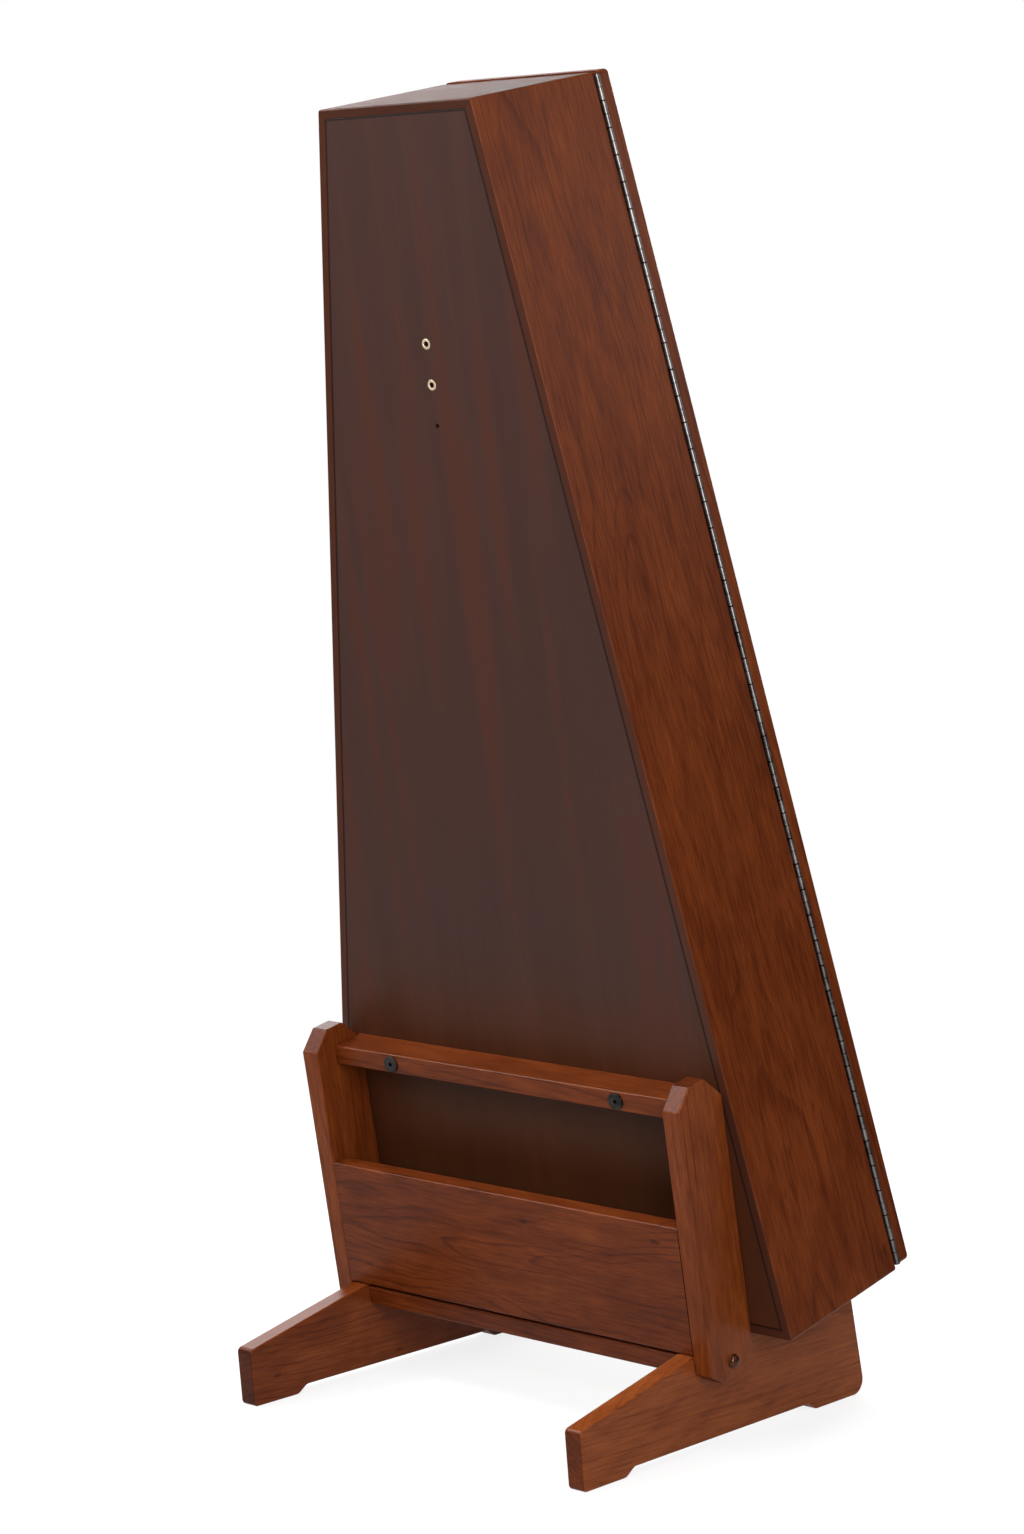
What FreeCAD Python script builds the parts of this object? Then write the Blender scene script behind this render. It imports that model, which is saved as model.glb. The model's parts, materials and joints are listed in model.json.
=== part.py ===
import FreeCAD, Part
import math
import os

# A tapered display cabinet that leans back on a folding floor stand, in millimetres.
# +Z is up and the door faces -Y. The origin is on the floor, under the middle of the whole.

# ---- driving dimensions: the cabinet -------------------------------------------------------
cabinet_height = 1160.0      # along the slope of the back
top_width = 186.0
bottom_width = 568.0
cabinet_depth = 175.0        # from the back to the front edge of the sides
board = 19.0                 # sides, top and bottom
panel_thickness = 12.0       # back panel, let into a rebate
rebate_lip = 8.5             # wood left showing round the back panel
panel_fit = 0.35             # fine gap round the back panel
lean_degrees = 12.0          # how far the cabinet leans back
heel_height = 106.0          # height of the cabinet's lower back edge

# ---- driving dimensions: the door ----------------------------------------------------------
door_thickness = 19.0
door_gap = 5.0               # filled by the barrel of the long hinge
door_foot_gap = 2.5          # the door stops this much above the cabinet's bottom
door_head_rise = 1.0         # and stands this much above its top
stile_width = 40.0
top_rail_width = 46.0
bottom_rail_width = 58.0
glass_rebate = 9.0           # how far the glass reaches under the frame
glass_seat = 9.0             # wood left in front of the glass
glass_thickness = 3.0
glass_clearance = 0.8

# ---- driving dimensions: the long hinge ----------------------------------------------------
knuckle_length = 12.7
knuckle_gap = 0.3
leaf_thickness = 1.2
leaf_width = 16.0
hinge_pin_radius = 1.25
hinge_pin_fit = 0.05
hinge_overhang = 0.8         # the pin's axis lies this far outside the side
hinge_end_margin = 2.5
hinge_screw_pitch = 50.8

# ---- driving dimensions: the stand ---------------------------------------------------------
foot_spread = 217.0          # from the middle to a foot's outer face
foot_thickness = 19.0
foot_front_reach = 218.0     # floor contact, measured forward from the cabinet's heel
foot_rear_reach = 229.0      # and rearward from it
foot_end_slant = 7.0         # the rear end leans in by this much at the floor
foot_front_top = 184.0       # how far the top edge runs forward under the cabinet
front_pad_length = 83.0
rear_pad_length = 61.0
arch_height = 7.7            # clearance under the middle of a foot
upright_thickness = 20.0
upright_top = 264.0
side_play = 0.4              # between an upright and a foot
back_play = 0.4              # between an upright and the cabinet's back
apron_top = 129.0
apron_thickness = 18.5
apron_lift = 1.0             # gap between the apron and the feet
bar_height = 19.5
bar_depth = 39.6
bar_centre = 235.0
stretcher_height = 19.0
stretcher_depth = 38.0
stretcher_drop = 3.0
pivot_drop = 14.0            # the pins sit this far below the top edge of the feet
pivot_back = 33.0            # and this far behind the cabinet's back
pivot_radius = 4.0
pivot_fit = 0.08
bolt_half_spacing = 142.0
bolt_radius = 3.0

# ---- driving dimensions: the hanger --------------------------------------------------------
hanger_height = 923.0        # middle of the hanger, up the slope of the back
hanger_pitch = 38.0          # between its two bolts
yoke_reach = 63.0            # from the back panel to the fork
yoke_arm_length = 44.0
yoke_half_width = 33.0
yoke_drop = 7.0              # the arms hang lower than the swivel, so the fork rights itself
yoke_rod_radius = 4.0
shaft_radius = 4.75
shaft_fit = 0.08

# ---- values that follow from them ----------------------------------------------------------
lean = math.radians(lean_degrees)
taper = math.atan((bottom_width - top_width) / 2 / cabinet_height)
back_reach = cabinet_height * math.sin(lean)
heel_y = (foot_front_reach - back_reach) / 2
door_back = cabinet_depth + door_gap
door_front = door_back + door_thickness
screw_fit = 0.05
dowel_radius = 4.0
dowel_fit = 0.05
overcut = 1.0                # how far a cutter runs past what it cuts

X_AXIS = FreeCAD.Vector(1, 0, 0)
Y_AXIS = FreeCAD.Vector(0, 1, 0)
Z_AXIS = FreeCAD.Vector(0, 0, 1)


def half_width(height):
    """Half the cabinet's outside width at a height up the slope."""
    return bottom_width / 2 - height * math.tan(taper)


# ---- small helpers -------------------------------------------------------------------------
# Leaning pieces are drawn upright, with the cabinet's back face on y = 0 and the front at -y.

def block(x0, x1, y0, y1, z0, z1):
    """A box between two corners."""
    return Part.makeBox(x1 - x0, y1 - y0, z1 - z0, FreeCAD.Vector(x0, y0, z0))


def rod(start, direction, length, radius):
    """A round bar."""
    return Part.makeCylinder(radius, length, start, direction)


def front_prism(outline, y_front, y_back):
    """An outline in x and z, given thickness between two y values."""
    points = [FreeCAD.Vector(x, y_front, z) for x, z in outline]
    face = Part.Face(Part.makePolygon(points + points[:1]))
    return face.extrude(FreeCAD.Vector(0, y_back - y_front, 0))


def side_prism(edges, x0, x1):
    """Edges in the plane x = 0, closed to a face and given thickness between two x values."""
    face = Part.Face(Part.Wire(edges))
    face.translate(FreeCAD.Vector(x0, 0, 0))
    return face.extrude(FreeCAD.Vector(x1 - x0, 0, 0))


def at(y, z):
    """A point in the plane x = 0."""
    return FreeCAD.Vector(0, y, z)


def line(start, end):
    return Part.LineSegment(start, end).toShape()


def arc(start, through, end):
    return Part.Arc(start, through, end).toShape()


def rounded(corners):
    """A closed outline from corners of (point, radius), with an arc at each corner that has one."""
    ends = []
    for i, (point, radius) in enumerate(corners):
        before = (corners[i - 1][0] - point).normalize()
        after = (corners[(i + 1) % len(corners)][0] - point).normalize()
        half_angle = before.getAngle(after) / 2
        cut = radius / math.tan(half_angle)
        middle = (before + after).normalize() * (radius / math.sin(half_angle) - radius)
        ends.append((point + before * cut, point + middle, point + after * cut))
    edges = []
    for i, (start, through, end) in enumerate(ends):
        if corners[i][1] > 0:
            edges.append(arc(start, through, end))
        edges.append(line(end, ends[(i + 1) % len(ends)][0]))
    return edges


def ease(shape, radius, wanted):
    """Round the edges that the test picks."""
    edges = [edge for edge in shape.Edges if wanted(edge)]
    return shape.makeFillet(radius, edges)


def on_plane(edge, axis, value):
    """True when an edge lies wholly in the plane axis = value."""
    return all(abs(getattr(vertex, axis) - value) < 1e-4 for vertex in edge.Vertexes)


def along(edge, direction):
    """True for a straight edge that runs in a direction."""
    if len(edge.Vertexes) != 2:
        return False
    run = edge.Vertexes[1].Point - edge.Vertexes[0].Point
    return run.cross(direction).Length < 1e-4 * run.Length


def hexagon(x, z, radius):
    """A hexagon's corners about a point."""
    turns = [math.radians(60 * i) for i in range(6)]
    return [(x + radius * math.cos(turn), z + radius * math.sin(turn)) for turn in turns]


def trapezoid(inset, foot, head):
    """The cabinet's outline drawn in by an inset, between two heights up the slope."""
    side = inset / math.cos(taper)
    low = half_width(foot) - side
    high = half_width(head) - side
    return [(-low, foot), (low, foot), (high, head), (-high, head)]


mitre_overrun = 0.4          # share of a mitre's length by which its cut is drawn out at both ends


def mitred(ring, outer, inner, y_front, y_back):
    """A four-sided ring cut at its mitres into bottom, right, top and left."""
    mitres = []
    for (x0, z0), (x1, z1) in zip(outer, inner):
        reach_x = (x0 - x1) * mitre_overrun
        reach_z = (z0 - z1) * mitre_overrun
        mitres.append(((x0 + reach_x, z0 + reach_z), (x1 - reach_x, z1 - reach_z)))
    pieces = []
    for near, far in zip(mitres, mitres[1:] + mitres[:1]):
        corners = [near[0], far[0], far[1], near[1]]
        wedge = front_prism(corners, y_front - overcut, y_back + overcut)
        pieces.append(ring.common(wedge))
    return pieces


def union(shapes):
    """One solid from several that meet."""
    return shapes[0].fuse(shapes[1:]).removeSplitter()


def lean_back(shape):
    """Tip a piece from its upright drawing place to where it stands."""
    shape = shape.copy()
    shape.rotate(FreeCAD.Vector(0, 0, 0), X_AXIS, -lean_degrees)
    shape.translate(FreeCAD.Vector(0, heel_y, heel_height))
    return shape


def stand(shape):
    """Put a piece that is drawn from the heel, and doesn't lean, where it stands."""
    shape = shape.copy()
    shape.translate(FreeCAD.Vector(0, heel_y, 0))
    return shape


def save(name, *solids):
    """Write one named piece, or a group of identical ones."""
    shape = solids[0] if len(solids) == 1 else Part.makeCompound(list(solids))
    for solid in shape.Solids:
        if not solid.isValid():
            raise ValueError(name + " is not a valid solid")
    shape.exportStep("parts/" + name + ".step")
    print(name, len(shape.Solids), "solid(s)", round(shape.Volume / 1000.0, 1), "cm3")


# ---- frames of the slanted sides -----------------------------------------------------------
# A side's own frame has u running inward from its outer face, y as in the drawing, and a
# running up its slope from the level of the cabinet's bottom.

def on_left(shape):
    """From a side's own frame to the left side, where the door is hinged."""
    shape = shape.copy()
    shape.rotate(FreeCAD.Vector(0, 0, 0), Y_AXIS, math.degrees(taper))
    shape.translate(FreeCAD.Vector(-bottom_width / 2, 0, 0))
    return shape


def on_right(shape):
    """The mirror image of that, on the side where the door opens."""
    return on_left(shape).mirror(FreeCAD.Vector(0, 0, 0), X_AXIS)


# ---- screws and dowels ---------------------------------------------------------------------

def flat_screw(head_point, direction, head_radius, shank_radius, length, extra=0.0):
    """A countersunk screw whose flat head starts at a point. extra makes the hole for it."""
    cone_height = head_radius - shank_radius
    head = Part.makeCone(head_radius + extra, shank_radius + extra, cone_height, head_point, direction)
    return union([head, rod(head_point, direction, length + extra, shank_radius + extra)])


def dowel(centre, direction, length, extra=0.0):
    """A plain dowel about its centre."""
    start = centre - direction * (length / 2 + extra)
    return rod(start, direction, length + 2 * extra, dowel_radius + extra)


def both(make, places, direction, length):
    """Two lists for the same places: the pieces, and the holes that they fill."""
    pieces = [make(place, direction, length) for place in places]
    holes = [make(place, direction, length, dowel_fit) for place in places]
    return pieces, holes


# ---- the cabinet's boards ------------------------------------------------------------------
corner_radius = 2.5
rear_arris = 1.5
front_arris = 2.5
panel_edge_easing = 0.4

envelope = front_prism(trapezoid(0, 0, cabinet_height), -cabinet_depth, 0)
envelope = ease(envelope, corner_radius, lambda edge: along(edge, Y_AXIS))
envelope = ease(envelope, front_arris, lambda edge: on_plane(edge, "Y", -cabinet_depth))
envelope = ease(envelope, rear_arris, lambda edge: on_plane(edge, "Y", 0))
outer = trapezoid(0, 0, cabinet_height)
inner = trapezoid(board, board, cabinet_height - board)
rebate_outline = trapezoid(rebate_lip, rebate_lip, cabinet_height - rebate_lip)
carcass = envelope.cut(front_prism(inner, -cabinet_depth - overcut, overcut))
carcass = carcass.cut(front_prism(rebate_outline, -panel_thickness, overcut))

panel_inset = rebate_lip + panel_fit
panel_outline = trapezoid(panel_inset, panel_inset, cabinet_height - panel_inset)
back_panel = front_prism(panel_outline, -panel_thickness, 0)
back_panel = ease(back_panel, panel_edge_easing, lambda edge: on_plane(edge, "Y", 0))

# ---- threaded inserts in the back panel ----------------------------------------------------
insert_flange_radius = 5.3
insert_flange = 0.8
insert_body_radius = 4.5
insert_length = 11.4
insert_bore = 2.65
insert_bore_fit = 0.05
spare_hole_radius = 2.3
spare_hole_depth = 8.0
bar_insert_bore = bolt_radius + pivot_fit
panel_bore_play = 0.1


def insert(x, z, bore, extra=0.0):
    """A flanged brass insert pressed in from the rear. extra makes the hole for it."""
    mouth = FreeCAD.Vector(x, 0, z)
    flange = rod(mouth, -Y_AXIS, insert_flange + extra, insert_flange_radius + extra)
    body = rod(mouth, -Y_AXIS, insert_length, insert_body_radius + extra)
    solid = union([flange, body])
    if bore:
        solid = solid.cut(rod(mouth, -Y_AXIS, insert_length, bore))
    return solid


hanger_holes = [hanger_height + hanger_pitch / 2, hanger_height - hanger_pitch / 2]
bolt_places = [-bolt_half_spacing, bolt_half_spacing]
hanger_inserts = [insert(0, z, insert_bore) for z in hanger_holes]
bar_inserts = [insert(x, bar_centre, bar_insert_bore) for x in bolt_places]
for z in hanger_holes:
    back_panel = back_panel.cut(insert(0, z, None, insert_bore_fit))
    mouth = FreeCAD.Vector(0, 0, z)
    back_panel = back_panel.cut(rod(mouth, -Y_AXIS, panel_thickness, bolt_radius + panel_bore_play))
for x in bolt_places:
    mouth = FreeCAD.Vector(x, 0, bar_centre)
    back_panel = back_panel.cut(insert(x, bar_centre, None, insert_bore_fit))
    back_panel = back_panel.cut(rod(mouth, -Y_AXIS, panel_thickness, bar_insert_bore))
spare_mouth = FreeCAD.Vector(0, 0, min(hanger_holes) - hanger_pitch)
back_panel = back_panel.cut(rod(spare_mouth, -Y_AXIS, spare_hole_depth, spare_hole_radius))

# ---- the door's frame, glass and beads -----------------------------------------------------
door_foot = door_foot_gap
door_head = cabinet_height + door_head_rise
door_front_arris = 4.5
sight_arris = 3.0
bead_thickness = door_thickness - glass_seat - glass_thickness

door_outer = trapezoid(0, door_foot, door_head)
sight = trapezoid(stile_width, door_foot + bottom_rail_width, door_head - top_rail_width)
seat = trapezoid(stile_width - glass_rebate,
                 door_foot + bottom_rail_width - glass_rebate,
                 door_head - top_rail_width + glass_rebate)
door_blank = front_prism(door_outer, -door_front, -door_back)
door_blank = ease(door_blank, door_front_arris,
                  lambda edge: along(edge, Y_AXIS) or on_plane(edge, "Y", -door_front))
door_ring = door_blank.cut(front_prism(sight, -door_front - overcut, -door_back + overcut))
edge_tolerance = 1e-3
sight_limits = (sight[0][1] - edge_tolerance, sight[2][1] + edge_tolerance)


def is_sight_edge(edge):
    """The front edges round the glass opening."""
    if not on_plane(edge, "Y", -door_front):
        return False
    inside = [sight_limits[0] <= vertex.Z <= sight_limits[1] and
              abs(vertex.X) < half_width(vertex.Z) - stile_width + overcut
              for vertex in edge.Vertexes]
    return all(inside)


door_ring = ease(door_ring, sight_arris, is_sight_edge)
seat_floor = door_front - glass_seat
door_ring = door_ring.cut(front_prism(seat, -seat_floor, -door_back + overcut))

glass_inset = stile_width - glass_rebate + glass_clearance
glass_outline = trapezoid(glass_inset,
                          door_foot + bottom_rail_width - glass_rebate + glass_clearance,
                          door_head - top_rail_width + glass_rebate - glass_clearance)
glass_back = seat_floor - glass_thickness
door_glass = front_prism(glass_outline, -seat_floor, -glass_back)
bead_ring = front_prism(glass_outline, -glass_back, -glass_back + bead_thickness)
bead_ring = bead_ring.cut(front_prism(sight, -glass_back - overcut, -door_back + overcut))
bead_bottom, bead_right, bead_top, bead_left = mitred(
    bead_ring, glass_outline, sight, -glass_back, -door_back)

# ---- the long hinge ------------------------------------------------------------------------
barrel_radius = hinge_pin_radius + hinge_pin_fit + leaf_thickness
axis_u = -hinge_overhang
axis_y = -(cabinet_depth + door_gap / 2)
knuckle_relief = 0.3         # between a knuckle and the other leaf's edge
notch = barrel_radius + knuckle_relief
door_slope = (door_head - door_foot) / math.cos(taper)
knuckle_count = int((door_slope - 2 * hinge_end_margin) / knuckle_length)
hinge_length = knuckle_count * knuckle_length
hinge_start = (door_foot + door_head) / 2 / math.cos(taper) - hinge_length / 2
leaf_face = door_gap / 2


def knuckle(index, towards):
    """One rolled knuckle with the tab that joins it to its leaf. towards is +1 for the cabinet."""
    outer_y = towards * leaf_face
    inner_y = towards * (leaf_face - leaf_thickness)
    bite = math.sqrt(barrel_radius ** 2 - inner_y ** 2)
    start = FreeCAD.Vector(0, outer_y, 0)
    meet = FreeCAD.Vector(bite, inner_y, 0)
    roll = Part.Arc(start, FreeCAD.Vector(-barrel_radius, 0, 0), meet).toShape()
    tab = [meet, FreeCAD.Vector(notch, inner_y, 0), FreeCAD.Vector(notch, outer_y, 0), start]
    edges = [roll] + [line(a, b) for a, b in zip(tab, tab[1:])]
    face = Part.Face(Part.Wire(edges))
    solid = face.extrude(FreeCAD.Vector(0, 0, knuckle_length - knuckle_gap))
    eye = rod(FreeCAD.Vector(0, 0, 0), Z_AXIS, knuckle_length, hinge_pin_radius + hinge_pin_fit)
    solid = solid.cut(eye)
    lift = hinge_start + index * knuckle_length + knuckle_gap / 2
    solid.translate(FreeCAD.Vector(axis_u, axis_y, lift))
    return solid


def leaf(first, towards):
    """A leaf's strip with every second knuckle along it."""
    faces = sorted([axis_y + towards * leaf_face, axis_y + towards * (leaf_face - leaf_thickness)])
    strip = block(axis_u + notch, axis_u + leaf_width, faces[0], faces[1],
                  hinge_start, hinge_start + hinge_length)
    return union([strip] + [knuckle(i, towards) for i in range(first, knuckle_count, 2)])


hinge_screw_u = axis_u + 10.0
hinge_screw_end = 10.0       # least distance from the leaf's end to a screw
hinge_screw_head = 2.9
hinge_screw_shank = 1.4
hinge_screw_length = 13.0
hinge_screw_count = int((hinge_length - 2 * hinge_screw_end) / hinge_screw_pitch) + 1
hinge_screw_start = hinge_start + (hinge_length - (hinge_screw_count - 1) * hinge_screw_pitch) / 2


def leaf_screws(towards, extra=0.0):
    """The row of countersunk screws through one leaf."""
    face_y = axis_y + towards * (leaf_face - leaf_thickness)
    heads = [FreeCAD.Vector(hinge_screw_u, face_y, hinge_screw_start + i * hinge_screw_pitch)
             for i in range(hinge_screw_count)]
    return [flat_screw(head, Y_AXIS * towards, hinge_screw_head, hinge_screw_shank,
                       hinge_screw_length, extra)
            for head in heads]


leaf_cabinet = leaf(0, 1).cut(leaf_screws(1, screw_fit))
leaf_door = leaf(1, -1).cut(leaf_screws(-1, screw_fit))
hinge_pin = rod(FreeCAD.Vector(axis_u, axis_y, hinge_start), Z_AXIS, hinge_length, hinge_pin_radius)
carcass_holes = [on_left(hole) for hole in leaf_screws(1, screw_fit)]
door_holes = [on_left(hole) for hole in leaf_screws(-1, screw_fit)]

# ---- the magnetic catch --------------------------------------------------------------------
catch_height = 560.0
catch_half_length = 22.0
catch_width = 12.0
catch_depth = 16.0
pole_thickness = 1.6
pole_stand_out = 0.6
strike_thickness = 1.2
strike_gap = 0.3
strike_face = door_back - strike_thickness
pole_front = strike_face - strike_gap
catch_front = pole_front - pole_stand_out
catch_screw_offset = 15.0
catch_screw_head = 3.0
catch_screw_shank = 1.4
catch_screw_bite = 10.0      # how far the screws enter the side
catch_screw_share = 0.6      # of the catch's depth, back from its front
pole_half_length = 9.0
pole_shares = [0.25, 0.75]   # of the catch's width
strike_inset = 0.5
strike_half_length = 20.0
strike_screw_offset = 14.5
strike_screw_head = 2.4
strike_screw_shank = 1.3
strike_screw_length = 11.0

catch_body = block(board, board + catch_width, -catch_front, -catch_front + catch_depth,
                   catch_height - catch_half_length, catch_height + catch_half_length)
poles = []
for share in pole_shares:
    pole_u = board + catch_width * share - pole_thickness / 2
    pole = block(pole_u, pole_u + pole_thickness, -pole_front, -catch_front + catch_depth / 2,
                 catch_height - pole_half_length, catch_height + pole_half_length)
    poles.append(pole)
catch_body = catch_body.cut(poles)
catch_screw_y = -catch_front + catch_depth * catch_screw_share
catch_screw_places = [FreeCAD.Vector(board + catch_width, catch_screw_y, catch_height + offset)
                      for offset in (-catch_screw_offset, catch_screw_offset)]


def catch_screw(place, extra=0.0):
    """A screw through the catch into the side. extra makes the hole for it."""
    return flat_screw(place, -X_AXIS, catch_screw_head, catch_screw_shank,
                      catch_width + catch_screw_bite, extra)


def strike_screw(place, extra=0.0):
    """A screw through the strike plate into the door."""
    return flat_screw(place, -Y_AXIS, strike_screw_head, strike_screw_shank, strike_screw_length, extra)


catch_screws = [catch_screw(place) for place in catch_screw_places]
catch_holes = [catch_screw(place, screw_fit) for place in catch_screw_places]
catch_body = catch_body.cut(catch_holes)
carcass_holes += [on_right(hole) for hole in catch_holes]
strike_plate = block(board, board + catch_width - strike_inset, -door_back, -strike_face,
                     catch_height - strike_half_length, catch_height + strike_half_length)
strike_places = [FreeCAD.Vector(board + catch_width / 2, -strike_face, catch_height + offset)
                 for offset in (-strike_screw_offset, strike_screw_offset)]
strike_screws = [strike_screw(place) for place in strike_places]
strike_holes = [strike_screw(place, screw_fit) for place in strike_places]
strike_plate = strike_plate.cut(strike_holes)
door_holes += [on_right(hole) for hole in strike_holes]

# ---- the door knob -------------------------------------------------------------------------
knob_height = 560.0
knob_base_radius = 8.0
knob_neck_radius = 5.5
knob_radius = 14.0
knob_length = 24.0
knob_crown_radius = 2.5
knob_screw_radius = 2.0
knob_screw_bite = 10.0       # how far the screw enters the knob
knob_screw_length = door_thickness + knob_screw_bite
knob_screw_head = 4.2
knob_screw_sink = 0.5        # its head lies this far below the door's back


def turned_knob():
    """A turned knob standing on the door's front, drawn along +Z from its base."""
    centre = FreeCAD.Vector(0, 0, 0)
    foot_edge = FreeCAD.Vector(knob_base_radius, 0, 0)
    neck = FreeCAD.Vector(knob_neck_radius, 0, knob_length * 0.25)
    flare = FreeCAD.Vector(knob_radius * 0.75, 0, knob_length * 0.46)
    rim = FreeCAD.Vector(knob_radius, 0, knob_length * 0.62)
    shoulder = FreeCAD.Vector(knob_radius * 0.72, 0, knob_length * 0.88)
    brow = FreeCAD.Vector(knob_radius * 0.5, 0, knob_length * 0.965)
    crown_edge = FreeCAD.Vector(knob_crown_radius, 0, knob_length)
    crown = FreeCAD.Vector(0, 0, knob_length)
    profile = [
        line(centre, foot_edge),
        arc(foot_edge, neck, flare),
        arc(flare, rim, shoulder),
        arc(shoulder, brow, crown_edge),
        line(crown_edge, crown),
        line(crown, centre),
    ]
    return Part.Face(Part.Wire(profile)).revolve(FreeCAD.Vector(0, 0, 0), Z_AXIS, 360)


knob_u = stile_width / 2
knob = turned_knob()
knob.rotate(FreeCAD.Vector(0, 0, 0), X_AXIS, 90)
knob.translate(FreeCAD.Vector(knob_u, -door_front, knob_height))
knob_screw_start = FreeCAD.Vector(knob_u, -door_back - knob_screw_sink, knob_height)


def knob_screw(extra=0.0):
    """The machine screw that holds the knob from behind the stile."""
    return flat_screw(knob_screw_start, -Y_AXIS, knob_screw_head, knob_screw_radius,
                      knob_screw_length, extra)


knob_hole = on_right(knob_screw(screw_fit))
knob = on_right(knob).cut(knob_hole)
door_holes.append(knob_hole)

# ---- the carcass and the door's frame, drilled and cut at their mitres ---------------------
carcass = carcass.cut(carcass_holes)
door_ring = door_ring.cut(door_holes)
bottom_board, side_right, top_board, side_left = mitred(carcass, outer, inner, -cabinet_depth, 0)
rail_bottom, stile_right, rail_top, stile_left = mitred(
    door_ring, door_outer, sight, -door_front, -door_back)

# ---- the hanger inside the cabinet ---------------------------------------------------------
hanger_block_width = 64.0
hanger_block_height = 92.0
hanger_block_thickness = 22.0
hanger_block_easing = 4.0
hanger_bolt_radius = insert_bore - insert_bore_fit
hanger_bolt_head = 5.0
hanger_bolt_head_height = 6.0
hanger_bolt_socket = 2.5     # radius of its socket, and the metal left under it
counterbore_depth = 7.0
counterbore_fit = 0.4
bolt_tip_setback = 3.0       # the bolts stop this far inside the back face
nut_height = 5.0
nut_radius = 8.0
nut_play = 0.4
nut_thread_fit = 0.02
collar_radius = 9.0
collar_thickness = 2.0
sleeve_radius = 7.5
sleeve_bulb_radius = 10.0
sleeve_setback = 6.0
sleeve_fit = 0.05
sleeve_end_gap = 0.5         # inside the bulb, past the arm's end

block_front = panel_thickness + hanger_block_thickness
hanger_block = block(-hanger_block_width / 2, hanger_block_width / 2, -block_front, -panel_thickness,
                     hanger_height - hanger_block_height / 2, hanger_height + hanger_block_height / 2)
hanger_block = ease(hanger_block, hanger_block_easing,
                    lambda edge: along(edge, Y_AXIS) or on_plane(edge, "Y", -block_front))
bolt_seat = block_front - counterbore_depth
hanger_bolts = []
for z in hanger_holes:
    seat_point = FreeCAD.Vector(0, -bolt_seat, z)
    head = rod(seat_point, -Y_AXIS, hanger_bolt_head_height, hanger_bolt_head)
    socket = rod(seat_point - Y_AXIS * hanger_bolt_socket, -Y_AXIS, hanger_bolt_head_height,
                 hanger_bolt_socket)
    shank = rod(seat_point, Y_AXIS, bolt_seat - bolt_tip_setback, hanger_bolt_radius)
    hanger_bolts.append(union([head, shank]).cut(socket))
    hanger_block = hanger_block.cut(rod(seat_point, -Y_AXIS, counterbore_depth + overcut,
                                        hanger_bolt_head + counterbore_fit))
    hanger_block = hanger_block.cut(rod(seat_point, Y_AXIS, hanger_block_thickness,
                                        hanger_bolt_radius + counterbore_fit / 2))

swivel = FreeCAD.Vector(0, 0, hanger_height)
shaft_end = panel_thickness + yoke_reach
pocket_depth = nut_height + 2 * nut_play
hanger_block = hanger_block.cut(rod(swivel - Y_AXIS * block_front, Y_AXIS, hanger_block_thickness,
                                    shaft_radius + shaft_fit))
hanger_block = hanger_block.cut(rod(swivel - Y_AXIS * panel_thickness, -Y_AXIS, pocket_depth,
                                    nut_radius + nut_play))
shaft = rod(swivel - Y_AXIS * (panel_thickness + nut_play), -Y_AXIS, yoke_reach - nut_play, shaft_radius)
collar = rod(swivel - Y_AXIS * (block_front + nut_play), -Y_AXIS, collar_thickness, collar_radius)
yoke_parts = [shaft, collar]
arm_sleeves = []
for side in (-1, 1):
    throat = FreeCAD.Vector(0, -shaft_end, hanger_height)
    elbow = FreeCAD.Vector(side * yoke_half_width, -shaft_end, hanger_height - yoke_drop)
    reach = elbow - throat
    yoke_parts.append(rod(throat, reach, reach.Length, yoke_rod_radius))
    yoke_parts.append(Part.makeSphere(yoke_rod_radius, elbow))
    yoke_parts.append(rod(elbow, -Y_AXIS, yoke_arm_length, yoke_rod_radius))
    sleeve_start = elbow - Y_AXIS * sleeve_setback
    sleeve_length = yoke_arm_length - sleeve_setback
    sleeve = union([rod(sleeve_start, -Y_AXIS, sleeve_length, sleeve_radius),
                    Part.makeSphere(sleeve_bulb_radius, sleeve_start - Y_AXIS * sleeve_length)])
    bore = rod(sleeve_start + Y_AXIS * overcut, -Y_AXIS, sleeve_length + overcut + sleeve_end_gap,
               yoke_rod_radius + sleeve_fit)
    arm_sleeves.append(sleeve.cut(bore))
yoke_parts.append(Part.makeSphere(shaft_radius, FreeCAD.Vector(0, -shaft_end, hanger_height)))
yoke = union(yoke_parts)
nut_back = -(panel_thickness + nut_play)
yoke_nut = front_prism(hexagon(0, hanger_height, nut_radius), nut_back - nut_height, nut_back)
yoke_nut = yoke_nut.cut(rod(swivel, -Y_AXIS, shaft_end, shaft_radius + nut_thread_fit))

# ---- the stand's folding frame -------------------------------------------------------------
fold_clearance = 0.4
frame_easing = 1.8
top_rear_chamfer = 19.0
top_front_chamfer = 23.5
toe_radius = 29.5
toe_clip_run = 15.5
toe_clip_rise = 12.0
clamp_gap = 0.05
bolt_head_radius = 8.25
bolt_head_height = 2.0
bolt_socket_flats = 4.0
bolt_socket_depth = 1.5      # below the face of the bar
bolt_head_easing = 0.7
bolt_tip_gap = 0.5           # from the bolt's tip to the end of its insert
bolt_hole_play = 0.25        # round the bolt in the bar
frame_dowel_length = 32.0
apron_dowel_shares = [0.2, 0.5, 0.8]
bar_dowel_shares = [0.28, 0.72]
upright_corner = 2.5
upright_front_corner = 3.0

apron_front_y = pivot_back + pivot_drop + fold_clearance
frame_rear_y = apron_front_y + apron_thickness
frame_inner_x = foot_spread + side_play
frame_outer_x = frame_inner_x + upright_thickness
pivot = at(pivot_back, -pivot_drop)

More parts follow.
